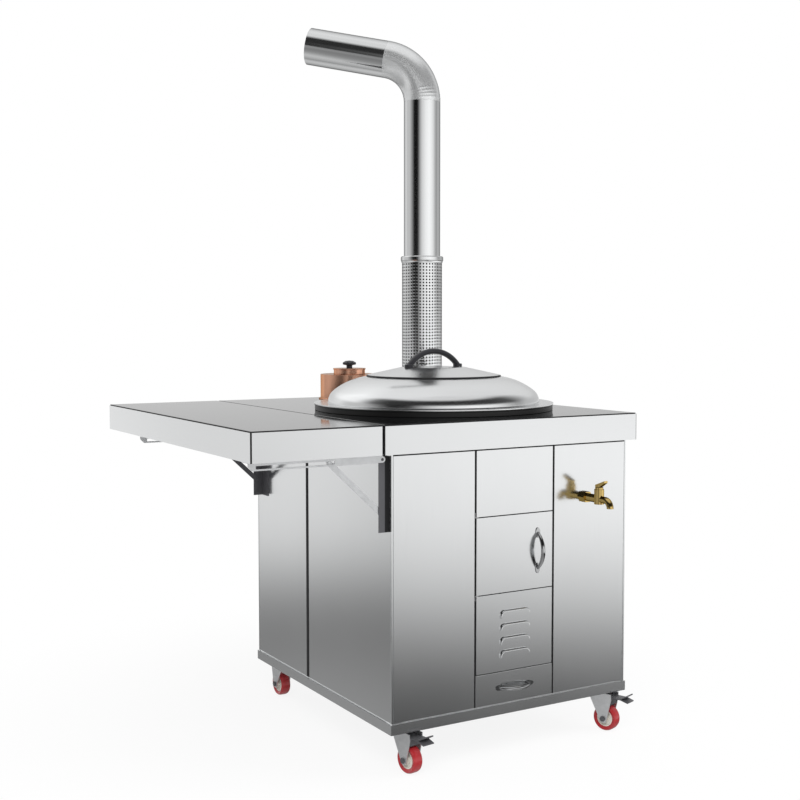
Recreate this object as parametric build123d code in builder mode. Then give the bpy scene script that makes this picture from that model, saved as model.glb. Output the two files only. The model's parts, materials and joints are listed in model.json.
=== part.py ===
# Mobile wood-burning wok stove with a flue, a hot-water tank and a fold-down side leaf
# Frame: millimetres, +Z up, floor at Z = 0, +X to the stove's right, front face towards -Y
import os
from math import atan2, cos, degrees, radians, sin, sqrt

from build123d import *

os.makedirs("parts", exist_ok=True)

# Worktop
top_width = 701.0
top_depth = 942.0
top_height = 785.0
apron_height = 65.0
glass_thickness = 6.0
deck_thickness = 2.0
sheet = 1.5
glass_gap = 0.5
tray_return = 14.0

# Leaf and its folding brackets
leaf_width = 305.0
leaf_gap = 1.5
leaf_return = 60.0
leaf_side_return = 25.0
leaf_strap_margin = 6.0
bracket_inset_front = 22.0
bracket_inset_rear = 243.0
bracket_plate = 2.0
bracket_slip = 0.3
bracket_length = 165.0
bracket_foot = 36.0
arm_height = 18.0
arm_foot = 30.0
arm_outer_margin = 3.0
arm_chamfer = 10.0
pivot_out = 18.0
pivot_drop = 11.0
strut_drop = 118.0
strut_length = 173.0
strut_width = 12.0
pivot_pin_radius = 3.0
web_margin = 5.0
pin_slip = 0.05
slot_clearance = 0.4

# Body
body_inset_left = 26.0
body_inset_right = 21.0
body_inset_front = 15.0
body_inset_rear = 214.0
base_bottom = 104.0
base_height = 23.0
base_proud = 3.0
base_flange = 30.0
gusset_size = 100.0
gusset_thickness = 3.0
pan_thickness = 2.0
panel_gap = 2.0
panel_top_gap = 0.5
post_nib = 4.0
post_leg = 25.0
post_wall = 2.0
side_seam = 425.0
stile_width = 40.0
frame_lap = 10.0
frame_thickness = 2.0
door_height = 176.5
louver_panel_height = 180.0
drawer_front_height = 73.0

# Louvers
louver_count = 4
louver_width = 80.0
louver_height = 14.0
louver_reach = 8.0
louver_pitch = 31.0
louver_offset = -4.0
louver_skin = 1.2

# Fire door and ash drawer
hinge_radius = 3.5
hinge_pin_radius = 1.5
hinge_engagement = 12.0
hinge_lug = 12.0
liner_depth = 8.0
liner_thickness = 1.5
liner_margin = 14.0
handle_span = 83.0
handle_reach = 27.0
handle_end_radius = 3.0
handle_mid_radius = 5.0
handle_ear_length = 24.0
handle_ear_width = 12.0
handle_ear_thickness = 2.0
door_handle_inset = 44.0
drawer_length = 455.0
drawer_depth = 62.0
drawer_side_gap = 1.0
drawer_lift = 0.3
drawer_wall = 1.5
runner_leg = 12.0
runner_thickness = 1.5

# Firebox
firebox_radius = 250.0
firebox_wall = 3.0
flare_radius = 303.0
flare_height = 87.0
grate_drop = 4.0
grate_size = 220.0
grate_thickness = 8.0
grate_slot = 8.0
grate_slots = 12
ash_hole = 200.0
leg_size = 20.0
leg_spread_x = 360.0
leg_spread_y = 300.0
throat_side_margin = 20.0
throat_low_margin = 18.0
throat_high_margin = 14.5
neck_width = 150.0
neck_height = 46.0
neck_drop = 91.0

# Wok, ring and lid
wok_shift_right = 0.5
wok_shift_front = 11.25
wok_rim_radius = 300.0
wok_mouth_radius = 280.0
wok_depth = 190.0
wok_wall = 4.0
wok_flange = 3.0
ring_height = 12.0
ring_outer_radius = 299.0
ring_inner_radius = 288.0
ring_wall = 3.0
ring_skirt = 14.0
deck_hole_gap = 1.0
lid_radius = 301.0
lid_skin = 1.2
lid_brim_inner = 275.0
lid_dome_radius = 180.0
lid_dome_height = 65.0
lid_step_radius = 170.0
lid_step_height = 71.0
lid_crown_radius = 78.0
lid_crown_height = 90.5
lid_bulge = 9.0
lid_handle_span = 144.0
lid_handle_height = 44.0
lid_handle_width = 14.0
lid_handle_thickness = 9.0
lid_boss_radius = 9.0
lid_boss_height = 5.0

# Smoke box, water tank and flue
box_inset_right = 16.0
box_inset_rear = 15.5
box_tank_gap = 28.5
box_height = 137.0
tank_shift_right = 10.0
tank_inset_rear = 101.0
tank_radius = 82.5
tank_height_below = 85.0
tank_height_above = 70.0
tank_wall = 1.5
tank_bead = 5.0
tank_bead_height = 3.0
tank_neck_radius = 44.6
tank_neck_height = 13.0
tank_lid_radius = 46.5
tank_lid_height = 3.5
tank_plug_depth = 8.0
tank_plug_gap = 0.4
knob_radius = 19.0
knob_stem_radius = 8.5
knob_stem_height = 8.0
knob_height = 22.0
knob_flutes = 8
flue_inset_right = 101.0
flue_inset_rear = 107.0
flue_radius = 53.2
flue_wall = 1.0
flue_slip = 0.1
flue_drop = 20.0
guard_radius = 58.7
guard_wall = 1.2
guard_height = 391.0
collar_radius = 62.3
collar_height = 19.0
elbow_height = 857.0
elbow_radius = 130.3
outlet_rise = 11.5
outlet_heading = 48.3
outlet_length = 238.8
spigot_length = 30.0

# Tap and water pipe
tap_shift_left = 16.0
tap_height = 590.0
tap_radius = 9.5
tap_bore = 5.0
tap_thread_radius = 10.0
tap_thread_length = 26.0
tap_hex_radius = 14.0
tap_hex_length = 12.0
tap_valve_reach = 53.0
tap_valve_radius = 11.5
tap_bonnet_top = 28.0
tap_outlet_reach = 93.0
tap_outlet_drop = 17.5
tap_spout_radius = 8.0
lever_start_up = 5.0
lever_length = 24.0
lever_back = 9.0
lever_rise = 17.0
lever_width = 10.0
lever_boss_margin = 1.0
lever_thickness = 5.0
plug_radius = 5.0
pipe_radius = 8.0
pipe_bore = 6.5
pipe_low = 480.0
pipe_inset_front = 60.0
pipe_bend = 20.0

# Casters
wheel_diameter = 63.0
tyre_width = 26.0
hub_radius = 21.0
hub_width = 20.0
hub_boss_radius = 9.0
hub_side_gap = 1.0
caster_trail = 30.0
front_left_turn = 8.0
front_right_turn = 20.0
rear_turn = 180.0
caster_plate_x = 72.0
caster_plate_y = 64.0
caster_plate_thickness = 2.5
caster_bolt_x = 56.0
caster_bolt_y = 48.0
caster_bolt_radius = 4.0
bolt_head_radius = 6.5
bolt_head_height = 5.0
bolt_slip = 0.1
kingpin_radius = 6.0
kingpin_head_radius = 10.0
kingpin_head_height = 2.5
crown_radius = 25.0
crown_front = 22.0
crown_back = 15.0
crown_thickness = 5.0
crown_gap = 0.5
fork_inner_width = 33.0
fork_wall = 2.5
fork_end_radius = 10.5
fork_brow_reach = 22.0
fork_brow_depth = 15.0
fork_brow_gap = 1.5
axle_radius = 4.0
axle_slip = 0.05
axle_head_radius = 7.0
axle_head_height = 4.0
caster_inset_x = 60.0
caster_inset_y = 60.0
caster_inset_right = 35.0
caster_inset_rear = 40.0
pedal_width = 31.0
pedal_thickness = 2.5
pedal_pin_radius = 3.0
pedal_pin_forward = 22.0
pedal_pin_up = 56.0
pedal_barrel_radius = 5.0
pedal_reach = 96.0
pedal_throat = 76.0
pedal_rise = 13.0
pedal_dip = 5.0
pedal_pad_forward = 36.0
pedal_pad_length = 12.0
pedal_pad_drop = 21.0

# Places worked out from the sizes
leaf_left_offset = -leaf_gap - leaf_width
outlet_turn = 90 - outlet_rise
heading_x = -sin(radians(outlet_heading))
heading_y = cos(radians(outlet_heading))
elbow_run = elbow_radius * (1 - cos(radians(outlet_turn)))
elbow_climb = elbow_radius * sin(radians(outlet_turn))
outlet_run = outlet_length * cos(radians(outlet_rise))
pipe_end_reach = flue_radius * sqrt(1 - (heading_y * cos(radians(outlet_rise))) ** 2)
flue_offset_y = top_depth - flue_inset_rear
rear_reach = flue_offset_y + (elbow_run + outlet_run) * heading_y + pipe_end_reach
front_reach = body_inset_front - tap_outlet_reach - tap_spout_radius
seam_x = -(top_width + leaf_left_offset) / 2
front_y = -(front_reach + rear_reach) / 2

top_right = seam_x + top_width
top_rear = front_y + top_depth
apron_bottom = top_height - apron_height
glass_bottom = top_height - glass_thickness
deck_bottom = glass_bottom - deck_thickness
body_left = seam_x + body_inset_left
body_right = top_right - body_inset_right
body_front = front_y + body_inset_front
body_rear = top_rear - body_inset_rear
base_top = base_bottom + base_height
pan_top = base_top + pan_thickness
panel_bottom = base_top + panel_gap
panel_top = apron_bottom - panel_top_gap
column_width = (body_right - body_left) / 3
column_left = body_left + column_width
column_right = column_left + column_width
drawer_top = base_top + panel_gap + drawer_front_height
louver_panel_bottom = drawer_top + panel_gap
louver_panel_top = louver_panel_bottom + louver_panel_height
door_bottom = louver_panel_top + panel_gap
door_top = door_bottom + door_height
top_panel_bottom = door_top + panel_gap
cell_left = column_left + panel_gap / 2
cell_right = column_right - panel_gap / 2
cell_middle = (cell_left + cell_right) / 2
panel_back = body_front + sheet
frame_back = panel_back + frame_thickness

tank_y = top_rear - tank_inset_rear
wok_x = (seam_x + top_right) / 2 + wok_shift_right
wok_y = (front_y + tank_y - tank_radius) / 2 - wok_shift_front
ring_top = top_height + ring_height
wok_flange_top = ring_top + wok_flange
lid_bottom = wok_flange_top
bowl_radius = (wok_mouth_radius ** 2 + wok_depth ** 2) / (2 * wok_depth)
bowl_centre = ring_top - wok_depth + bowl_radius
tank_x = wok_x + tank_shift_right
tank_bottom = top_height - tank_height_below
flue_x = top_right - flue_inset_right
flue_y = top_rear - flue_inset_rear
guard_top = top_height + guard_height
elbow_start = top_height + elbow_height
tap_x = (column_right + body_right) / 2 - tap_shift_left
tap_valve_y = body_front - tap_valve_reach
tank_shoulder = top_height + tank_height_above
tank_neck_top = tank_shoulder + tank_neck_height
lid_centre = (wok_x, wok_y)


# Shared shapes
def block(x, y, z, mode=Mode.ADD):
    """Add a box that spans the given x, y and z ranges."""
    with Locations(((x[0] + x[1]) / 2, (y[0] + y[1]) / 2, (z[0] + z[1]) / 2)):
        Box(x[1] - x[0], y[1] - y[0], z[1] - z[0], mode=mode)


def tube(centre, outer, inner, low, high, mode=Mode.ADD):
    """Add an upright tube, or a rod where the inner radius is 0."""
    with BuildSketch(Plane.XY.offset(low)) as outline:
        with Locations(centre):
            Circle(outer)
            if inner > 0:
                Circle(inner, mode=Mode.SUBTRACT)
    extrude(outline.sketch, amount=high - low, mode=mode)


def revolved(centre, points, mode=Mode.ADD):
    """Turn a closed outline of (radius, height) points about the upright axis through centre."""
    section = Plane(origin=(centre[0], centre[1], 0), x_dir=(1, 0, 0), z_dir=(0, -1, 0))
    with BuildSketch(section) as outline:
        with BuildLine():
            Polyline(*points, close=True)
        make_face()
    revolve(outline.sketch, axis=Axis((centre[0], centre[1], 0), (0, 0, 1)), mode=mode)


def save(piece, name):
    """Label a finished piece and write it to its own file."""
    piece.part.label = name
    export_step(piece.part, f"parts/{name}.step")


# Base frame: channel-section skirt with a gusset at each corner for a caster
skirt_x = (body_left - base_proud, body_right + base_proud)
skirt_y = (body_front - base_proud, body_rear + base_proud)
caster_left = body_left + caster_inset_x
caster_right = body_right - caster_inset_right
caster_front = body_front + caster_inset_y
caster_rear = body_rear - caster_inset_rear
caster_places = [
    ("front_left", caster_left, caster_front),
    ("front_right", caster_right, caster_front),
    ("rear_left", caster_left, caster_rear),
    ("rear_right", caster_right, caster_rear),
]
caster_turns = {
    "front_left": front_left_turn,
    "front_right": front_right_turn,
    "rear_left": rear_turn,
    "rear_right": rear_turn,
}
with BuildPart() as base_frame:
    block(skirt_x, skirt_y, (base_bottom, base_top))
    block(
        (skirt_x[0] + sheet, skirt_x[1] - sheet),
        (skirt_y[0] + sheet, skirt_y[1] - sheet),
        (base_bottom + gusset_thickness, base_top - sheet),
        Mode.SUBTRACT,
    )
    block(
        (skirt_x[0] + base_flange, skirt_x[1] - base_flange),
        (skirt_y[0] + base_flange, skirt_y[1] - base_flange),
        (base_bottom, base_top),
        Mode.SUBTRACT,
    )
    for side_x in (skirt_x[0] + gusset_size / 2, skirt_x[1] - gusset_size / 2):
        for side_y in (skirt_y[0] + gusset_size / 2, skirt_y[1] - gusset_size / 2):
            block(
                (side_x - gusset_size / 2, side_x + gusset_size / 2),
                (side_y - gusset_size / 2, side_y + gusset_size / 2),
                (base_bottom, base_bottom + gusset_thickness),
            )
    for _, place_x, place_y in caster_places:
        with BuildSketch(Plane((place_x, place_y, base_bottom))):
            with GridLocations(caster_bolt_x, caster_bolt_y, 2, 2):
                Circle(caster_bolt_radius)
        extrude(amount=gusset_thickness, mode=Mode.SUBTRACT)
save(base_frame, "base_frame")

# Floor pan, notched round the corner posts
post_reach = post_leg + sheet
with BuildPart() as floor_pan:
    block(
        (body_left + sheet, body_right - sheet),
        (body_front + sheet, body_rear - sheet),
        (base_top, pan_top),
    )
    for corner_x in (body_left, body_right):
        for corner_y in (body_front, body_rear):
            block(
                (corner_x - post_reach, corner_x + post_reach),
                (corner_y - post_reach, corner_y + post_reach),
                (base_top, pan_top),
                Mode.SUBTRACT,
            )
save(floor_pan, "floor_pan")

# Corner posts: angles behind the sheets, with a nib that fills the corner; and two side stiles
with BuildPart() as corner_posts:
    for corner_x, way_x in ((body_left, 1), (body_right, -1)):
        for corner_y, way_y in ((body_front, 1), (body_rear, -1)):
            with BuildSketch(Plane((corner_x, corner_y, base_top))):
                Polygon(
                    (0, 0),
                    (way_x * post_nib, 0),
                    (way_x * post_nib, way_y * sheet),
                    (way_x * post_reach, way_y * sheet),
                    (way_x * post_reach, way_y * (sheet + post_wall)),
                    (way_x * (sheet + post_wall), way_y * (sheet + post_wall)),
                    (way_x * (sheet + post_wall), way_y * post_reach),
                    (way_x * sheet, way_y * post_reach),
                    (way_x * sheet, way_y * post_nib),
                    (0, way_y * post_nib),
                    align=None,
                )
            extrude(amount=deck_bottom - base_top)
    for wall_x, way_x in ((body_left + sheet, 1), (body_right - sheet, -1)):
        block(
            sorted((wall_x, wall_x + way_x * post_wall)),
            (front_y + side_seam - stile_width / 2, front_y + side_seam + stile_width / 2),
            (pan_top, deck_bottom),
        )
save(corner_posts, "corner_posts")

# Front frame: one plate behind the front panels, open at each cell of the middle column
opening_left = cell_left + frame_lap
opening_right = cell_right - frame_lap
notch_left = cell_left - panel_gap
notch_right = cell_left + 2 * hinge_radius + panel_gap / 2
with BuildPart() as front_frame:
    block(
        (body_left + post_reach, body_right - post_reach),
        (panel_back, frame_back),
        (pan_top, deck_bottom),
    )
    for side in ((body_left + post_reach + frame_lap, cell_left - 2 * frame_lap),
                 (cell_right + 2 * frame_lap, body_right - post_reach - frame_lap)):
        block(side, (panel_back, frame_back), (pan_top + frame_lap, apron_bottom - frame_lap), Mode.SUBTRACT)
    for low, high in ((pan_top - frame_lap / 2, drawer_top), (louver_panel_bottom, louver_panel_top),
                      (door_bottom, door_top), (top_panel_bottom, apron_bottom)):
        block(
            (opening_left, opening_right),
            (panel_back, frame_back),
            (low + frame_lap / 2, high - frame_lap / 2),
            Mode.SUBTRACT,
        )
    block(
        (notch_left, notch_right),
        (panel_back, frame_back),
        (door_bottom - hinge_lug, door_top + hinge_lug),
        Mode.SUBTRACT,
    )
    block(
        (notch_left, opening_left),
        (panel_back, frame_back),
        (door_bottom + frame_lap / 2, door_top - frame_lap / 2),
        Mode.SUBTRACT,
    )
save(front_frame, "front_frame")


# Body panels: flat sheets between the post nibs, with a small gap round each
nib_line_left = body_left + post_nib + panel_gap / 2
nib_line_right = body_right - post_nib - panel_gap / 2
nib_line_front = body_front + post_nib + panel_gap / 2
nib_line_rear = body_rear - post_nib - panel_gap / 2

with BuildPart() as front_left_panel:
    block((nib_line_left, column_left - panel_gap / 2), (body_front, panel_back), (panel_bottom, panel_top))
save(front_left_panel, "front_left_panel")

with BuildPart() as front_right_panel:
    block((column_right + panel_gap / 2, nib_line_right), (body_front, panel_back), (panel_bottom, panel_top))
    with BuildSketch(Plane((tap_x, body_front, tap_height), x_dir=(1, 0, 0), z_dir=(0, -1, 0))):
        Circle(tap_thread_radius + slot_clearance)
    extrude(amount=-sheet, mode=Mode.SUBTRACT)
save(front_right_panel, "front_right_panel")

with BuildPart() as front_top_panel:
    block((cell_left, cell_right), (body_front, panel_back), (top_panel_bottom, panel_top))
save(front_top_panel, "front_top_panel")

for name, span in (("left_front_panel", (nib_line_front, front_y + side_seam - panel_gap / 2)),
                   ("left_rear_panel", (front_y + side_seam + panel_gap / 2, nib_line_rear))):
    with BuildPart() as side_panel:
        block((body_left, body_left + sheet), span, (panel_bottom, panel_top))
    save(side_panel, name)

with BuildPart() as right_panel:
    block((body_right - sheet, body_right), (nib_line_front, nib_line_rear), (panel_bottom, panel_top))
save(right_panel, "right_panel")

neck_left = wok_x - neck_width / 2
neck_right = wok_x + neck_width / 2
neck_top = deck_bottom - neck_drop
neck_bottom = neck_top - neck_height
pipe_x = (wok_x + firebox_radius + body_right) / 2
with BuildPart() as rear_panel:
    block((nib_line_left, nib_line_right), (body_rear - sheet, body_rear), (panel_bottom, panel_top))
    block(
        (neck_left - panel_gap, neck_right + panel_gap),
        (body_rear - sheet, body_rear),
        (neck_bottom - panel_gap, neck_top + panel_gap),
        Mode.SUBTRACT,
    )
    with BuildSketch(Plane((pipe_x, body_rear - sheet, pipe_low), x_dir=(1, 0, 0), z_dir=(0, -1, 0))):
        Circle(pipe_radius + bracket_slip)
    extrude(amount=-sheet, mode=Mode.SUBTRACT)
save(rear_panel, "rear_panel")

# Louver panel: pressed hoods that open downward, each over its own slot
louver_middle = (louver_panel_bottom + louver_panel_top) / 2 + louver_offset
louver_bases = [
    louver_middle + (index - (louver_count - 1) / 2) * louver_pitch - louver_height / 2
    for index in range(louver_count)
]


def louver_hood(base, inset, mode):
    """Add or cut one hood: a bulging profile along X, cut to rounded top corners."""
    half = louver_width / 2 - inset
    height = louver_height - inset
    reach = louver_reach - inset
    with BuildPart() as hood:
        with BuildSketch(Plane((cell_middle - half, body_front, base), x_dir=(0, -1, 0), z_dir=(1, 0, 0))):
            with BuildLine():
                Line((0, 0), (0, -height))
                ThreePointArc((0, -height), (reach * 0.75, -height * 0.66), (reach, 0))
                Line((reach, 0), (0, 0))
            make_face()
        extrude(amount=2 * half)
        with BuildSketch(Plane((cell_middle, body_front, base), x_dir=(1, 0, 0), z_dir=(0, -1, 0))) as face:
            with Locations((0, height / 2)):
                Rectangle(2 * half, height)
            fillet(face.vertices().group_by(Axis.Y)[-1], height * 0.8)
        extrude(amount=louver_reach, mode=Mode.INTERSECT)
    add(hood.part, mode=mode)


with BuildPart() as louver_panel:
    block((cell_left, cell_right), (body_front, panel_back), (louver_panel_bottom, louver_panel_top))
    for base in louver_bases:
        louver_hood(base, 0, Mode.ADD)
        louver_hood(base, louver_skin, Mode.SUBTRACT)
        half_slot = louver_width / 2 - louver_skin - louver_height / 3
        block(
            (cell_middle - half_slot, cell_middle + half_slot),
            (body_front, panel_back),
            (base, base + louver_height / 2),
            Mode.SUBTRACT,
        )
save(louver_panel, "louver_panel")


# Bow handle: two eared feet and a grip that thickens in its middle
def bow_handle(seat):
    """Build a handle on a plane whose X runs along it and whose Z points away from the panel."""
    half = handle_span / 2
    with BuildPart() as handle:
        for side in (-1, 1):
            foot = seat.from_local_coords((side * half, 0, 0))
            with BuildSketch(Plane(foot, x_dir=seat.x_dir, z_dir=seat.z_dir)):
                Ellipse(handle_ear_length / 2, handle_ear_width / 2)
            extrude(amount=handle_ear_thickness)
        side_on = Plane(seat.origin, x_dir=seat.x_dir, z_dir=-seat.y_dir)
        with BuildLine(side_on) as path:
            ThreePointArc(
                (-half, handle_ear_thickness / 2),
                (0, handle_reach - handle_mid_radius),
                (half, handle_ear_thickness / 2),
            )
        grip = path.line
        for place, radius in ((0, handle_end_radius), (0.5, handle_mid_radius), (1, handle_end_radius)):
            with BuildSketch(Plane(grip @ place, x_dir=seat.y_dir, z_dir=grip % place)):
                Circle(radius)
        sweep(path=path.wires()[0], multisection=True)
        with BuildSketch(seat):
            Rectangle(handle_span + handle_ear_length, 2 * handle_ear_width)
        extrude(amount=-handle_ear_width, mode=Mode.SUBTRACT)
    return handle


# Fire door: a sheet with a rounded hinge edge, its heat shield and its handle
hinge_x = cell_left + hinge_radius
hinge_y = body_front + hinge_radius
door_right = cell_right
door_middle = (door_bottom + door_top) / 2
with BuildPart() as fire_door:
    block((hinge_x, door_right), (body_front, panel_back), (door_bottom, door_top))
    tube((hinge_x, hinge_y), hinge_radius, 0, door_bottom, door_top)
    tube((hinge_x, hinge_y), hinge_pin_radius + pin_slip, 0, door_bottom, door_top, Mode.SUBTRACT)
save(fire_door, "fire_door")

liner_left = hinge_x + liner_margin
liner_right = opening_right - panel_gap
liner_low = door_bottom + frame_lap / 2 + panel_gap
liner_high = door_top - frame_lap / 2 - panel_gap
with BuildPart() as door_liner:
    block((liner_left, liner_right), (panel_back, panel_back + liner_depth), (liner_low, liner_high))
    block(
        (liner_left + liner_thickness, liner_right - liner_thickness),
        (panel_back, panel_back + liner_depth - liner_thickness),
        (liner_low + liner_thickness, liner_high - liner_thickness),
        Mode.SUBTRACT,
    )
save(door_liner, "door_liner")

door_seat = Plane((door_right - door_handle_inset, body_front, door_middle), x_dir=(0, 0, 1), z_dir=(0, -1, 0))
save(bow_handle(door_seat), "door_handle")

# Hinge lugs on the front frame, each with its pin in the door's rounded edge
lug_back = hinge_y + hinge_radius + frame_thickness
with BuildPart() as door_hinge_pins:
    for edge, way in ((door_top, 1), (door_bottom, -1)):
        lug_span = sorted((edge + way * panel_gap / 2, edge + way * hinge_lug))
        pin_span = sorted((edge - way * hinge_engagement, edge + way * hinge_lug))
        block((notch_left, notch_right), (panel_back, lug_back), lug_span)
        tube((hinge_x, hinge_y), hinge_pin_radius, 0, *pin_span)
save(door_hinge_pins, "door_hinge_pins")

# Ash drawer: front sheet and open tray in one, running on a pair of angles
tray_left = opening_left + runner_thickness + drawer_side_gap
tray_right = opening_right - runner_thickness - drawer_side_gap
tray_bottom = pan_top + runner_thickness + drawer_lift
tray_top = tray_bottom + drawer_depth
tray_rear = panel_back + drawer_length
with BuildPart() as ash_drawer:
    block((cell_left, cell_right), (body_front, panel_back), (panel_bottom, drawer_top))
    block((tray_left, tray_right), (body_front, tray_rear), (tray_bottom, tray_top))
    block(
        (tray_left + drawer_wall, tray_right - drawer_wall),
        (panel_back, tray_rear - drawer_wall),
        (tray_bottom + drawer_wall, tray_top),
        Mode.SUBTRACT,
    )
save(ash_drawer, "ash_drawer")

drawer_middle = (panel_bottom + drawer_top) / 2
drawer_seat = Plane((cell_middle, body_front, drawer_middle), x_dir=(1, 0, 0), z_dir=(0, -1, 0))
save(bow_handle(drawer_seat), "drawer_handle")

with BuildPart() as drawer_runners:
    for wall_x, way_x in ((opening_left, 1), (opening_right, -1)):
        block(
            sorted((wall_x, wall_x + way_x * runner_thickness)),
            (frame_back, tray_rear),
            (pan_top, tray_top),
        )
        block(
            sorted((wall_x, wall_x + way_x * runner_leg)),
            (frame_back, tray_rear),
            (pan_top, pan_top + runner_thickness),
        )
save(drawer_runners, "drawer_runners")

# Firebox: a flared drum under the wok, with a feeding throat, a rear smoke neck and four legs
drum = firebox_radius - firebox_wall
flare_start = deck_bottom - flare_height
throat_left = cell_left + throat_side_margin
throat_right = cell_right - throat_side_margin
throat_bottom = door_bottom + throat_low_margin
throat_top = door_top - throat_high_margin
floor_bottom = throat_bottom - grate_drop - grate_thickness - firebox_wall
throat_front = panel_back + liner_depth + panel_gap
cavity_outline = [
    (0, floor_bottom + firebox_wall),
    (drum, floor_bottom + firebox_wall),
    (drum, flare_start),
    (flare_radius - firebox_wall, deck_bottom),
    (0, deck_bottom),
]
with BuildPart() as firebox:
    revolved((wok_x, wok_y), [
        (0, floor_bottom),
        (firebox_radius, floor_bottom),
        (firebox_radius, flare_start),
        (flare_radius, deck_bottom),
        (0, deck_bottom),
    ])
    block((throat_left, throat_right), (throat_front, wok_y), (throat_bottom, throat_top))
    block((neck_left, neck_right), (wok_y, body_rear), (neck_bottom, neck_top))
    revolved((wok_x, wok_y), cavity_outline, Mode.SUBTRACT)
    block(
        (throat_left + firebox_wall, throat_right - firebox_wall),
        (throat_front, wok_y),
        (throat_bottom + firebox_wall, throat_top - firebox_wall),
        Mode.SUBTRACT,
    )
    block(
        (neck_left + firebox_wall, neck_right - firebox_wall),
        (wok_y, body_rear),
        (neck_bottom + firebox_wall, neck_top - firebox_wall),
        Mode.SUBTRACT,
    )
    block(
        (wok_x - ash_hole / 2, wok_x + ash_hole / 2),
        (wok_y - ash_hole / 2, wok_y + ash_hole / 2),
        (floor_bottom, floor_bottom + firebox_wall),
        Mode.SUBTRACT,
    )
    with BuildSketch(Plane((wok_x, wok_y, pan_top))):
        with GridLocations(leg_spread_x, leg_spread_y, 2, 2):
            Rectangle(leg_size, leg_size)
    extrude(amount=floor_bottom - pan_top)
save(firebox, "firebox")

with BuildPart() as fire_grate:
    grate_bottom = floor_bottom + firebox_wall
    block(
        (wok_x - grate_size / 2, wok_x + grate_size / 2),
        (wok_y - grate_size / 2, wok_y + grate_size / 2),
        (grate_bottom, grate_bottom + grate_thickness),
    )
    slot_pitch = (ash_hole - grate_slot) / (grate_slots - 1)
    with BuildSketch(Plane((wok_x, wok_y, grate_bottom))):
        with GridLocations(slot_pitch, 0, grate_slots, 1):
            Rectangle(grate_slot, ash_hole - grate_slot)
    extrude(amount=grate_thickness, mode=Mode.SUBTRACT)
save(fire_grate, "fire_grate")

# Worktop tray: apron, deck and bottom returns, with holes for the wok, the tank and the flue
hole_radius = ring_inner_radius + ring_wall + deck_hole_gap
with BuildPart() as worktop_tray:
    block((seam_x, top_right), (front_y, top_rear), (apron_bottom, top_height))
    block(
        (seam_x + sheet, top_right - sheet),
        (front_y + sheet, top_rear - sheet),
        (glass_bottom, top_height),
        Mode.SUBTRACT,
    )
    block(
        (seam_x + sheet, top_right - sheet),
        (front_y + sheet, top_rear - sheet),
        (apron_bottom + sheet, deck_bottom),
        Mode.SUBTRACT,
    )
    block(
        (seam_x + tray_return, top_right - tray_return),
        (front_y + tray_return, top_rear - tray_return),
        (apron_bottom, apron_bottom + sheet),
        Mode.SUBTRACT,
    )
    tube((wok_x, wok_y), hole_radius, 0, deck_bottom, glass_bottom, Mode.SUBTRACT)
    tube((tank_x, tank_y), tank_radius + bracket_slip, 0, deck_bottom, glass_bottom, Mode.SUBTRACT)
    tube((flue_x, flue_y), flue_radius + flue_slip, 0, deck_bottom, glass_bottom, Mode.SUBTRACT)
save(worktop_tray, "worktop_tray")

with BuildPart() as worktop_glass:
    block(
        (seam_x + sheet + glass_gap, top_right - sheet - glass_gap),
        (front_y + sheet + glass_gap, top_rear - sheet - glass_gap),
        (glass_bottom, top_height),
    )
    tube((wok_x, wok_y), hole_radius, 0, glass_bottom, top_height, Mode.SUBTRACT)
    tube((tank_x, tank_y), tank_radius + bracket_slip, 0, glass_bottom, top_height, Mode.SUBTRACT)
    tube((flue_x, flue_y), flue_radius + glass_gap, 0, glass_bottom, top_height, Mode.SUBTRACT)
save(worktop_glass, "worktop_glass")

# Wok ring: a collar on the glass with a skirt through it, and the wok hung in the ring by its flange
with BuildPart() as wok_ring:
    revolved(lid_centre, [
        (ring_inner_radius, top_height - ring_skirt),
        (ring_inner_radius + ring_wall, top_height - ring_skirt),
        (ring_inner_radius + ring_wall, top_height),
        (ring_outer_radius, top_height),
        (ring_outer_radius, ring_top),
        (ring_inner_radius, ring_top),
    ])
save(wok_ring, "wok_ring")

bowl_outer = bowl_radius + wok_wall
outer_mouth = sqrt(bowl_outer ** 2 - (bowl_centre - ring_top) ** 2)
flange_mouth = sqrt(bowl_radius ** 2 - (bowl_centre - wok_flange_top) ** 2)
with BuildPart() as wok:
    with BuildSketch(Plane(origin=(wok_x, wok_y, 0), x_dir=(1, 0, 0), z_dir=(0, -1, 0))):
        with BuildLine():
            inner_angle = degrees(atan2(wok_flange_top - bowl_centre, flange_mouth))
            outer_angle = degrees(atan2(ring_top - bowl_centre, outer_mouth))
            inside = CenterArc((0, bowl_centre), bowl_radius, -90, 90 + inner_angle)
            outside = CenterArc((0, bowl_centre), bowl_outer, -90, 90 + outer_angle)
            Line(inside @ 0, outside @ 0)
            Polyline(
                inside @ 1,
                (wok_rim_radius, wok_flange_top),
                (wok_rim_radius, ring_top),
                outside @ 1,
            )
        make_face()
    revolve(axis=Axis((wok_x, wok_y, 0), (0, 0, 1)))
save(wok, "wok")

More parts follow.
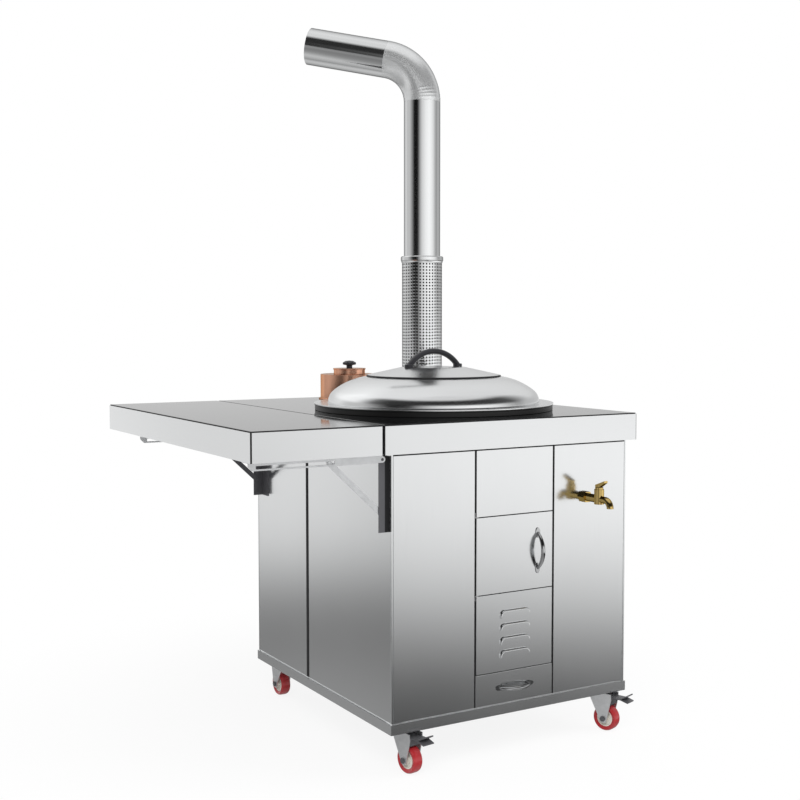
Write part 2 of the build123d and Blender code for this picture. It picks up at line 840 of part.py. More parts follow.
# Lid: brim, dome, step and shallow cone, one skin thick
lid_outline = [
    (lid_brim_inner, lid_skin),
    (lid_dome_radius, lid_dome_height),
    (lid_step_radius, lid_dome_height + lid_skin),
    (lid_step_radius - lid_skin, lid_step_height),
    (lid_crown_radius, lid_crown_height),
]
dome_bulge = ((lid_brim_inner + lid_dome_radius) / 2 + lid_bulge, lid_dome_height / 2 + lid_bulge)
with BuildPart() as lid_dome:
    with BuildSketch(Plane(origin=(wok_x, wok_y, lid_bottom), x_dir=(1, 0, 0), z_dir=(0, -1, 0))):
        with BuildLine():
            Polyline((lid_brim_inner - lid_skin, 0), (lid_radius, 0), (lid_radius, lid_skin), lid_outline[0])
            ThreePointArc(lid_outline[0], dome_bulge, lid_outline[1])
            Polyline(*lid_outline[1:], (0, lid_crown_height))
            Line((0, lid_crown_height), (0, lid_crown_height - lid_skin))
            Polyline(
                (0, lid_crown_height - lid_skin),
                (lid_crown_radius, lid_crown_height - lid_skin),
                (lid_step_radius - 2 * lid_skin, lid_step_height - lid_skin),
                (lid_step_radius - 2 * lid_skin, lid_dome_height),
                (lid_dome_radius - lid_skin / 2, lid_dome_height - lid_skin),
            )
            ThreePointArc(
                (lid_dome_radius - lid_skin / 2, lid_dome_height - lid_skin),
                (dome_bulge[0] - lid_skin * 0.7, dome_bulge[1] - lid_skin * 0.7),
                (lid_brim_inner - lid_skin, 0),
            )
        make_face()
    revolve(axis=Axis((wok_x, wok_y, 0), (0, 0, 1)))
save(lid_dome, "lid_dome")

lid_top = lid_bottom + lid_crown_height
with BuildPart() as lid_handle:
    for side in (-1, 1):
        boss_place = (wok_x + side * lid_handle_span / 2, wok_y)
        tube(boss_place, lid_boss_radius, 0, lid_top, lid_top + lid_boss_height)
    arch = Plane((wok_x, wok_y, lid_top), x_dir=(1, 0, 0), z_dir=(0, -1, 0))
    with BuildLine(arch) as arch_path:
        ThreePointArc(
            (-lid_handle_span / 2, lid_boss_height / 2),
            (0, lid_handle_height - lid_handle_thickness / 2),
            (lid_handle_span / 2, lid_boss_height / 2),
        )
    with BuildSketch(Plane(arch_path.line @ 0, x_dir=(0, 1, 0), z_dir=arch_path.line % 0)):
        Ellipse(lid_handle_width / 2, lid_handle_thickness / 2)
    sweep(path=arch_path.wires()[0])
    block(
        (wok_x - lid_handle_span, wok_x + lid_handle_span),
        (wok_y - lid_handle_width, wok_y + lid_handle_width),
        (lid_top - lid_handle_height, lid_top),
        Mode.SUBTRACT,
    )
save(lid_handle, "lid_handle")

# Smoke box: open at the top against the deck, fed through the neck
smoke_left = tank_x - tank_radius - box_tank_gap
smoke_right = top_right - box_inset_right
smoke_rear = top_rear - box_inset_rear
smoke_front = body_rear
smoke_bottom = deck_bottom - box_height
with BuildPart() as smoke_box:
    block((smoke_left, smoke_right), (smoke_front, smoke_rear), (smoke_bottom, deck_bottom))
    block(
        (smoke_left + sheet, smoke_right - sheet),
        (smoke_front + sheet, smoke_rear - sheet),
        (smoke_bottom + sheet, deck_bottom),
        Mode.SUBTRACT,
    )
    block(
        (neck_left + firebox_wall, neck_right - firebox_wall),
        (smoke_front, smoke_front + sheet),
        (neck_bottom + firebox_wall, neck_top - firebox_wall),
        Mode.SUBTRACT,
    )
    tube((tank_x, tank_y), pipe_radius + bracket_slip, 0, smoke_bottom, smoke_bottom + sheet, Mode.SUBTRACT)
save(smoke_box, "smoke_box")

# Water tank: copper shell through the worktop, with a foot bead, a neck and a lift-off lid
with BuildPart() as water_tank:
    tube((tank_x, tank_y), tank_radius, 0, tank_bottom, tank_shoulder)
    tube((tank_x, tank_y), tank_radius + tank_bead, 0, top_height, top_height + tank_bead_height)
    tube((tank_x, tank_y), tank_neck_radius, 0, tank_shoulder, tank_neck_top)
    tube(
        (tank_x, tank_y), tank_radius - tank_wall, 0,
        tank_bottom + tank_wall, tank_shoulder - tank_wall, Mode.SUBTRACT,
    )
    tube(
        (tank_x, tank_y), tank_neck_radius - tank_wall, 0,
        tank_shoulder - tank_wall, tank_neck_top, Mode.SUBTRACT,
    )
    tube((tank_x, tank_y), pipe_bore, 0, tank_bottom, tank_bottom + tank_wall, Mode.SUBTRACT)
save(water_tank, "water_tank")

plug_outer = tank_neck_radius - tank_wall - tank_plug_gap
lid_plate_top = tank_neck_top + tank_lid_height
with BuildPart() as tank_lid:
    tube((tank_x, tank_y), tank_lid_radius, 0, tank_neck_top, lid_plate_top)
    tube((tank_x, tank_y), plug_outer, plug_outer - tank_wall, tank_neck_top - tank_plug_depth, tank_neck_top)
save(tank_lid, "tank_lid")

with BuildPart() as tank_knob:
    revolved((tank_x, tank_y), [
        (0, lid_plate_top),
        (knob_stem_radius, lid_plate_top),
        (knob_stem_radius, lid_plate_top + knob_stem_height),
        (knob_radius, lid_plate_top + knob_stem_height + knob_height * 0.12),
        (knob_radius, lid_plate_top + knob_stem_height + knob_height * 0.36),
        (knob_radius * 0.6, lid_plate_top + knob_height * 0.94),
        (0, lid_plate_top + knob_height),
    ])
    with BuildSketch(Plane((tank_x, tank_y, lid_plate_top + knob_stem_height))):
        with PolarLocations(knob_radius * 1.1, knob_flutes):
            Circle(knob_radius * 0.22)
    extrude(amount=knob_height, mode=Mode.SUBTRACT)
save(tank_knob, "tank_knob")

# Flue: guard sleeve standing on the glass, collar, pipe, elbow and outlet
with BuildPart() as flue_guard:
    tube((flue_x, flue_y), guard_radius, guard_radius - guard_wall, top_height, guard_top)
save(flue_guard, "flue_guard")

with BuildPart() as guard_collar:
    tube((flue_x, flue_y), collar_radius, flue_radius + flue_slip, guard_top, guard_top + collar_height)
save(guard_collar, "guard_collar")

with BuildPart() as flue_pipe:
    tube((flue_x, flue_y), flue_radius, flue_radius - flue_wall, deck_bottom - flue_drop, elbow_start)
save(flue_pipe, "flue_pipe")

elbow_end = Vector(
    flue_x + elbow_run * heading_x,
    flue_y + elbow_run * heading_y,
    elbow_start + elbow_climb,
)
outlet_direction = Vector(
    heading_x * cos(radians(outlet_rise)),
    heading_y * cos(radians(outlet_rise)),
    sin(radians(outlet_rise)),
)
spigot_radius = flue_radius - flue_wall - flue_slip
bend_plane = Plane(
    (flue_x, flue_y, elbow_start),
    x_dir=(heading_x, heading_y, 0),
    z_dir=(heading_y, -heading_x, 0),
)
with BuildPart() as flue_elbow:
    with BuildLine(bend_plane) as bend:
        CenterArc((elbow_radius, 0), elbow_radius, 180, -outlet_turn)
    with BuildSketch(Plane((flue_x, flue_y, elbow_start))):
        Circle(flue_radius)
        Circle(flue_radius - flue_wall, mode=Mode.SUBTRACT)
    sweep(path=bend.wires()[0])
    tube(
        (flue_x, flue_y), spigot_radius, spigot_radius - flue_wall,
        elbow_start - spigot_length, elbow_start,
    )
    with BuildSketch(Plane((flue_x, flue_y, elbow_start))):
        Circle(flue_radius - flue_wall / 2)
        Circle(spigot_radius - flue_wall, mode=Mode.SUBTRACT)
    extrude(amount=flue_wall)
    with BuildSketch(Plane(elbow_end, z_dir=outlet_direction)):
        Circle(spigot_radius)
        Circle(spigot_radius - flue_wall, mode=Mode.SUBTRACT)
    extrude(amount=spigot_length)
    with BuildSketch(Plane(elbow_end, z_dir=outlet_direction)):
        Circle(flue_radius - flue_wall / 2)
        Circle(spigot_radius - flue_wall, mode=Mode.SUBTRACT)
    extrude(amount=-flue_wall)
save(flue_elbow, "flue_elbow")

with BuildPart() as outlet_pipe:
    with BuildSketch(Plane(elbow_end, z_dir=outlet_direction)):
        Circle(flue_radius)
        Circle(flue_radius - flue_wall, mode=Mode.SUBTRACT)
    extrude(amount=outlet_length)
save(outlet_pipe, "outlet_pipe")

# Tap: threaded inlet, hexagon, valve body and down-turned spout
tap_axis = Plane((tap_x, body_front, tap_height), x_dir=(1, 0, 0), z_dir=(0, -1, 0))
spout_bend = tap_outlet_drop
spout_straight = tap_outlet_reach - spout_bend
tap_side = Plane((tap_x, body_front, tap_height), x_dir=(0, -1, 0), z_dir=(1, 0, 0))
valve_low = tap_height - tap_valve_radius
valve_high = tap_height + tap_bonnet_top
with BuildPart() as tap_body:
    with BuildSketch(tap_axis.offset(-tap_thread_length)):
        Circle(tap_thread_radius)
    extrude(amount=tap_thread_length)
    with BuildSketch(tap_axis):
        RegularPolygon(tap_hex_radius, 6)
    extrude(amount=tap_hex_length)
    with BuildLine(tap_side) as spout_path:
        Line((0, 0), (spout_straight, 0))
        ThreePointArc(
            (spout_straight, 0),
            (spout_straight + spout_bend * sin(radians(45)), spout_bend * (1 - cos(radians(45)))),
            (spout_straight + spout_bend, spout_bend),
        )
    with BuildSketch(tap_axis):
        Circle(tap_spout_radius)
    sweep(path=spout_path.wires()[0])
    with BuildSketch(tap_axis):
        Circle(tap_radius)
    extrude(amount=tap_valve_reach)
    tube((tap_x, tap_valve_y), tap_valve_radius, 0, valve_low, valve_high - tap_radius / 2)
    tube((tap_x, tap_valve_y), tap_radius, 0, valve_high - tap_radius / 2, valve_high)
    with BuildSketch(tap_axis.offset(-tap_thread_length)):
        Circle(tap_bore)
    extrude(amount=tap_thread_length, mode=Mode.SUBTRACT)
    with BuildSketch(tap_axis):
        Circle(tap_bore)
    sweep(path=spout_path.wires()[0], mode=Mode.SUBTRACT)
    tube((tap_x, tap_valve_y), plug_radius + pin_slip, 0, tap_height - plug_radius, valve_high, Mode.SUBTRACT)
save(tap_body, "tap_body")

lever_low = valve_high + bracket_slip
with BuildPart() as tap_lever:
    tube((tap_x, tap_valve_y), plug_radius, 0, tap_height - plug_radius + bracket_slip, lever_low)
    tube((tap_x, tap_valve_y), lever_width / 2 + lever_boss_margin, 0, lever_low, lever_low + lever_start_up)
    lever_side = Plane((tap_x - lever_width / 2, tap_valve_y, lever_low), x_dir=(0, -1, 0), z_dir=(1, 0, 0))
    with BuildSketch(lever_side):
        Polygon(
            (-lever_back, 0),
            (lever_width / 2, 0),
            (lever_length, -lever_rise + lever_thickness),
            (lever_length, -lever_rise),
            (-lever_back, -lever_start_up),
            align=None,
        )
    extrude(amount=lever_width)
    with BuildSketch(Plane((tap_x, tap_valve_y, tap_height), x_dir=(1, 0, 0), z_dir=(0, -1, 0))):
        Circle(tap_bore * 0.7)
    extrude(amount=plug_radius * 2, both=True, mode=Mode.SUBTRACT)
save(tap_lever, "tap_lever")

# Water pipe: from the tank's bottom, down under the smoke box, forward beside the firebox, up to the tap
pipe_front = body_front + pipe_inset_front
pipe_route = [
    (tank_x, tank_y, tank_bottom),
    (tank_x, tank_y, pipe_low),
    (pipe_x, tank_y, pipe_low),
    (pipe_x, pipe_front, pipe_low),
    (tap_x, pipe_front, pipe_low),
    (tap_x, pipe_front, tap_height),
    (tap_x, body_front + tap_thread_length, tap_height),
]
with BuildPart() as water_pipe:
    with BuildLine() as pipe_path:
        FilletPolyline(*pipe_route, radius=pipe_bend)
    with BuildSketch(Plane((tank_x, tank_y, tank_bottom), z_dir=(0, 0, -1))):
        Circle(pipe_radius)
        Circle(pipe_bore, mode=Mode.SUBTRACT)
    sweep(path=pipe_path.wires()[0])
save(water_pipe, "water_pipe")

# Leaf: apron tray with wide bottom returns for the brackets, and its glass
leaf_left = seam_x - leaf_gap - leaf_width
leaf_right = seam_x - leaf_gap
with BuildPart() as leaf_tray:
    block((leaf_left, leaf_right), (front_y, top_rear), (apron_bottom, top_height))
    block(
        (leaf_left + sheet, leaf_right - sheet),
        (front_y + sheet, top_rear - sheet),
        (glass_bottom, top_height),
        Mode.SUBTRACT,
    )
    block(
        (leaf_left + sheet, leaf_right - sheet),
        (front_y + sheet, top_rear - sheet),
        (apron_bottom + sheet, deck_bottom),
        Mode.SUBTRACT,
    )
    strap_near = top_rear - bracket_inset_rear - arm_foot - leaf_strap_margin
    strap_far = top_rear - bracket_inset_rear + leaf_strap_margin
    for span in ((front_y + leaf_return, strap_near), (strap_far, top_rear - leaf_side_return)):
        block(
            (leaf_left + leaf_side_return, leaf_right - leaf_side_return),
            span,
            (apron_bottom, apron_bottom + sheet),
            Mode.SUBTRACT,
        )
save(leaf_tray, "leaf_tray")

with BuildPart() as leaf_glass:
    block(
        (leaf_left + sheet + glass_gap, leaf_right - sheet - glass_gap),
        (front_y + sheet + glass_gap, top_rear - sheet - glass_gap),
        (glass_bottom, top_height),
    )
save(leaf_glass, "leaf_glass")

# Folding brackets, the front one and its mirror image near the body's rear
# Each has, side by side along Y, the leaf's arm, the wall arm's web and the strut
pivot_x = body_left - pivot_out
pivot_z = apron_bottom - pivot_drop
strut_pivot_z = pivot_z - strut_drop
strut_reach = sqrt(strut_length ** 2 - strut_drop ** 2)
strut_end_x = pivot_x - strut_reach
arm_end = leaf_left + arm_outer_margin
arm_bottom = apron_bottom - arm_height
web_edge = pivot_x - pivot_pin_radius - web_margin
wall_top = pivot_z + strut_width / 2
bracket_sides = [(front_y + bracket_inset_front, 1), (top_rear - bracket_inset_rear, -1)]


def stack(start, way, near, far):
    """Turn distances inward from a bracket's outer face into a sorted Y range."""
    return sorted((start + way * near, start + way * far))


web_near = bracket_plate + bracket_slip
web_far = web_near + bracket_plate
strut_near = web_far + bracket_slip
strut_far = strut_near + bracket_plate


def cross_pin(x, z, span, radius, mode=Mode.ADD):
    """Add a round pin along Y over the given Y range."""
    with BuildSketch(Plane((x, span[0], z), x_dir=(1, 0, 0), z_dir=(0, 1, 0))) as outline:
        Circle(radius)
    extrude(outline.sketch, amount=span[1] - span[0], mode=mode)


with BuildPart() as bracket_wall_arms:
    for start, way in bracket_sides:
        block(
            (body_left - bracket_plate, body_left),
            stack(start, way, web_near, web_near + bracket_foot),
            (wall_top - bracket_length, wall_top),
        )
        block(
            (web_edge, body_left),
            stack(start, way, web_near, web_far),
            (wall_top - bracket_length, wall_top),
        )
        cross_pin(pivot_x, pivot_z, stack(start, way, -bracket_plate / 2, web_near), pivot_pin_radius)
        strut_pin_span = stack(start, way, web_far, strut_far + bracket_plate / 2)
        cross_pin(pivot_x, strut_pivot_z, strut_pin_span, pivot_pin_radius)
save(bracket_wall_arms, "bracket_wall_arms")

slot_near = pivot_x - strut_drop + pivot_pin_radius
slot_far = pivot_x - strut_drop - strut_length - pivot_pin_radius
with BuildPart() as bracket_arms:
    for start, way in bracket_sides:
        web = stack(start, way, 0, bracket_plate)
        with BuildSketch(Plane((0, web[0], 0), x_dir=(1, 0, 0), z_dir=(0, -1, 0))):
            Polygon(
                (arm_end, apron_bottom),
                (leaf_right, apron_bottom),
                (leaf_right, apron_bottom - bracket_slip),
                (pivot_x, apron_bottom - bracket_slip),
                (pivot_x, arm_bottom),
                (arm_end + arm_chamfer, arm_bottom),
                (arm_end, arm_bottom + arm_chamfer),
                align=None,
            )
            with Locations((pivot_x, pivot_z)):
                Circle(arm_height - pivot_drop)
        extrude(amount=-bracket_plate)
        block(
            (arm_end, leaf_right - leaf_side_return / 2),
            stack(start, way, 0, arm_foot),
            (apron_bottom - bracket_plate, apron_bottom),
        )
        cross_pin(
            pivot_x, pivot_z, stack(start, way, 0, bracket_plate),
            pivot_pin_radius + pin_slip, Mode.SUBTRACT,
        )
        block(
            (slot_far, slot_near),
            stack(start, way, 0, bracket_plate),
            (pivot_z - pivot_pin_radius - slot_clearance, pivot_z + pivot_pin_radius + slot_clearance),
            Mode.SUBTRACT,
        )
save(bracket_arms, "bracket_arms")

strut_angle = degrees(atan2(strut_drop, -strut_reach))
strut_middle = ((pivot_x + strut_end_x) / 2, (pivot_z + strut_pivot_z) / 2)
for name, (start, way) in zip(("front_strut", "rear_strut"), bracket_sides):
    with BuildPart() as strut:
        span = stack(start, way, strut_near, strut_far)
        face = Plane(
            (strut_middle[0], span[1], strut_middle[1]),
            x_dir=(cos(radians(strut_angle)), 0, sin(radians(strut_angle))),
            z_dir=(0, -1, 0),
        )
        with BuildSketch(face):
            SlotCenterToCenter(strut_length, strut_width)
        extrude(amount=bracket_plate)
        cross_pin(pivot_x, strut_pivot_z, span, pivot_pin_radius + pin_slip, Mode.SUBTRACT)
        cross_pin(
            strut_end_x, pivot_z,
            stack(start, way, bracket_plate + slot_clearance, strut_far), pivot_pin_radius,
        )
    save(strut, name)

# Casters: top plates with kingpins and bolts, then a fork, a tyre and a hub for each
plate_top = base_bottom
plate_bottom = plate_top - caster_plate_thickness
crown_top = plate_bottom - crown_gap
crown_bottom = crown_top - crown_thickness
wheel_radius = wheel_diameter / 2
pedal_pin_z = wheel_radius + pedal_pin_up
braked_casters = ("front_left", "front_right")
leg_inner = fork_inner_width / 2
leg_outer = leg_inner + fork_wall
brow_top = crown_bottom - wheel_radius - fork_brow_gap
with BuildPart() as caster_plates:
    for _, place_x, place_y in caster_places:
        with BuildSketch(Plane((place_x, place_y, plate_bottom))):
            Rectangle(caster_plate_x, caster_plate_y)
            with GridLocations(caster_bolt_x, caster_bolt_y, 2, 2):
                Circle(caster_bolt_radius, mode=Mode.SUBTRACT)
        extrude(amount=caster_plate_thickness)
        tube((place_x, place_y), kingpin_radius, 0, crown_bottom - crown_gap, plate_bottom)
        tube(
            (place_x, place_y), kingpin_head_radius, 0,
            crown_bottom - crown_gap - kingpin_head_height, crown_bottom - crown_gap,
        )
        bolt_seat = plate_bottom - bolt_slip
        with BuildSketch(Plane((place_x, place_y, bolt_seat - bolt_head_height))):
            with GridLocations(caster_bolt_x, caster_bolt_y, 2, 2):
                RegularPolygon(bolt_head_radius, 6)
        extrude(amount=bolt_head_height)
        with BuildSketch(Plane((place_x, place_y, bolt_seat))):
            with GridLocations(caster_bolt_x, caster_bolt_y, 2, 2):
                Circle(caster_bolt_radius - bolt_slip)
        extrude(amount=caster_plate_thickness + gusset_thickness)
save(caster_plates, "caster_plates")


def axle_cross_pin(centre_x, y, z, half_length, radius, mode=Mode.ADD):
    """Add a round pin along X, as long on each side of centre_x as half_length."""
    with BuildSketch(Plane((centre_x - half_length, y, z), x_dir=(0, 1, 0), z_dir=(1, 0, 0))) as outline:
        Circle(radius)
    extrude(outline.sketch, amount=2 * half_length, mode=mode)


def wheel_section(place_x, axle_y, points):
    """Turn a closed outline of (radius, distance along the axle) points about a wheel's axle."""
    section = Plane((place_x, axle_y, wheel_radius), x_dir=(0, 1, 0), z_dir=(0, 0, -1))
    with BuildSketch(section) as profile:
        with BuildLine():
            Polyline(*points, close=True)
        make_face()
    revolve(profile.sketch, axis=Axis((place_x, axle_y, wheel_radius), (1, 0, 0)))


def save_turned(piece, name, place_x, place_y, turn):
    """Turn a caster's piece about its kingpin and write it."""
    piece.part = piece.part.rotate(Axis((place_x, place_y, 0), (0, 0, 1)), turn)
    save(piece, name)


for name, place_x, place_y in caster_places:
    turn = caster_turns[name]
    axle_y = place_y - caster_trail
    with BuildPart() as fork:
        tube((place_x, place_y), crown_radius, 0, crown_bottom, crown_top)
        block(
            (place_x - leg_outer, place_x + leg_outer),
            (place_y - crown_front, place_y + crown_back),
            (crown_bottom, crown_bottom + fork_wall),
        )
        for leg_x in (place_x - leg_outer, place_x + leg_inner):
            with BuildSketch(Plane((leg_x, axle_y, wheel_radius), x_dir=(0, 1, 0), z_dir=(1, 0, 0))):
                Circle(fork_end_radius)
                Polygon(
                    (-fork_end_radius, 0),
                    (fork_end_radius, 0),
                    (caster_trail + crown_back, crown_bottom - wheel_radius),
                    (caster_trail + crown_back, crown_bottom + fork_wall - wheel_radius),
                    (caster_trail - crown_front, crown_bottom + fork_wall - wheel_radius),
                    (caster_trail - crown_front, brow_top),
                    (-fork_brow_reach, brow_top),
                    (-fork_brow_reach, brow_top - fork_brow_depth),
                    align=None,
                )
            extrude(amount=fork_wall)
        tube((place_x, place_y), kingpin_radius + pin_slip, 0, crown_bottom, crown_top, Mode.SUBTRACT)
        axle_cross_pin(place_x, axle_y, wheel_radius, leg_outer, axle_radius)
        for head_x in (place_x - leg_outer - axle_head_height, place_x + leg_outer):
            with BuildSketch(Plane((head_x, axle_y, wheel_radius), x_dir=(0, 1, 0), z_dir=(1, 0, 0))):
                RegularPolygon(axle_head_radius, 6)
            extrude(amount=axle_head_height)
        if name in braked_casters:
            axle_cross_pin(place_x, place_y - pedal_pin_forward, pedal_pin_z, leg_outer, pedal_pin_radius)
    save_turned(fork, f"{name}_fork", place_x, place_y, turn)

    with BuildPart() as tyre:
        half = tyre_width / 2
        wheel_section(place_x, axle_y, [
            (hub_radius, -hub_width / 2),
            (wheel_radius * 0.9, -half),
            (wheel_radius * 0.97, -half * 0.8),
            (wheel_radius, -half * 0.5),
            (wheel_radius, half * 0.5),
            (wheel_radius * 0.97, half * 0.8),
            (wheel_radius * 0.9, half),
            (hub_radius, hub_width / 2),
        ])
    save_turned(tyre, f"{name}_tyre", place_x, place_y, turn)

    with BuildPart() as hub:
        boss = leg_inner - hub_side_gap
        wheel_section(place_x, axle_y, [
            (axle_radius + axle_slip, -boss),
            (hub_boss_radius, -boss),
            (hub_boss_radius, -hub_width / 4),
            (hub_radius * 0.85, -hub_width / 4),
            (hub_radius * 0.9, -hub_width / 2),
            (hub_radius, -hub_width / 2),
            (hub_radius, hub_width / 2),
            (hub_radius * 0.9, hub_width / 2),
            (hub_radius * 0.85, hub_width / 4),
            (hub_boss_radius, hub_width / 4),
            (hub_boss_radius, boss),
            (axle_radius + axle_slip, boss),
        ])
    save_turned(hub, f"{name}_hub", place_x, place_y, turn)

# Brake pedals of the front casters: a rolled barrel on the fork's pin, a blade over the wheel and two lips
for name, place_x, place_y in caster_places:
    if name not in braked_casters:
        continue
    pin_y = place_y - pedal_pin_forward
    with BuildPart() as pedal:
        side_on = Plane(
            (place_x - pedal_width / 2, place_y, pedal_pin_z - pedal_thickness),
            x_dir=(0, -1, 0),
            z_dir=(1, 0, 0),
        )
        with BuildSketch(side_on):
            with BuildLine():
                Polyline(
                    (pedal_pin_forward, 0),
                    (pedal_pad_forward, 0),
                    (pedal_pad_forward, pedal_pad_drop - pedal_thickness),
                    (pedal_pad_forward + pedal_pad_length, pedal_pad_drop - pedal_thickness),
                    (pedal_pad_forward + pedal_pad_length, 0),
                    (pedal_throat, 0),
                    (pedal_reach, pedal_dip),
                    (pedal_reach, pedal_dip - pedal_thickness),
                    (pedal_throat + pedal_thickness, -pedal_thickness),
                    (pedal_reach - pedal_thickness, -pedal_rise + pedal_thickness),
                    (pedal_reach - pedal_thickness, -pedal_rise),
                    (pedal_reach - 2 * pedal_thickness, -pedal_rise),
                    (pedal_throat, -pedal_thickness),
                    (pedal_pin_forward, -pedal_thickness),
                    close=True,
                )
            make_face()
        extrude(amount=pedal_width)
        axle_cross_pin(place_x, pin_y, pedal_pin_z, pedal_width / 2, pedal_barrel_radius)
        axle_cross_pin(place_x, pin_y, pedal_pin_z, pedal_width / 2, pedal_pin_radius + pin_slip, Mode.SUBTRACT)
    save_turned(pedal, f"{name}_pedal", place_x, place_y, caster_turns[name])
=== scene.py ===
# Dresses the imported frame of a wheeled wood-burning wok stove
# Metres, +Z up, the floor at Z = 0, the stove's front towards -Y

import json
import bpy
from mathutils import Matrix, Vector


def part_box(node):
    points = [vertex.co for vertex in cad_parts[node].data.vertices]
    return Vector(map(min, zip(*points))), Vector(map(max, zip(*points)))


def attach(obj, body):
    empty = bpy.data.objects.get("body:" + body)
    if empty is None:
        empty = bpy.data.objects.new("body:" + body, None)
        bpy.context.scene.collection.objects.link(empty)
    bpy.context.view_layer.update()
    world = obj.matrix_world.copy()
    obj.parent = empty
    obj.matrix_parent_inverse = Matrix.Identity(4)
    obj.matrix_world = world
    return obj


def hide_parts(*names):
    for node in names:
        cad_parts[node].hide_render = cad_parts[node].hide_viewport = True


bl_info = {
    "name": "Wok stove",
    "version": (1, 0, 0),
    "blender": (4, 5, 0),
    "location": "3D View > Sidebar > Stove",
    "description": "Builds the finished pieces and materials of a wood-burning wok stove round its frame",
    "category": "Object",
}

from math import atan2, cos, pi, radians, sin

import bpy
from bpy.props import FloatProperty, FloatVectorProperty, IntProperty, PointerProperty
from mathutils import Matrix, Vector

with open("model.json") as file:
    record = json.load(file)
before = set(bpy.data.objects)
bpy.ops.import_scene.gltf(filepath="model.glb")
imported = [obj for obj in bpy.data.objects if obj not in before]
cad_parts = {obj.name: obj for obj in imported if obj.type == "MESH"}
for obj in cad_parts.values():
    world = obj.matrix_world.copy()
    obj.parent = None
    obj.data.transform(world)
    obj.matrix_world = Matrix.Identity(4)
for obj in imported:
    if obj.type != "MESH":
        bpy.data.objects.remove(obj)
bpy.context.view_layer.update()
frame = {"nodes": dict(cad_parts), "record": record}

SMOOTH_ANGLE = radians(35)
NEAR = 0.0001
WHEELS = ("front_left", "front_right", "rear_left", "rear_right")
BRAKED_WHEELS = ("front_left", "front_right")


# Properties that a user would change
def length(name, description, default):
    """A length in metres."""
    return FloatProperty(name=name, description=description, default=default, min=0.0, unit="LENGTH")


def angle(name, description, degrees):
    """An angle, given in degrees."""
    return FloatProperty(name=name, description=description, default=radians(degrees), subtype="ANGLE")


def number(name, description, default):
    """A number of like pieces."""
    return IntProperty(name=name, description=description, default=default, min=1)


def colour(name, description, default):
    """A plain linear colour."""
    return FloatVectorProperty(
        name=name, description=description, default=default, subtype="COLOR", size=3, min=0.0, max=1.0,
    )


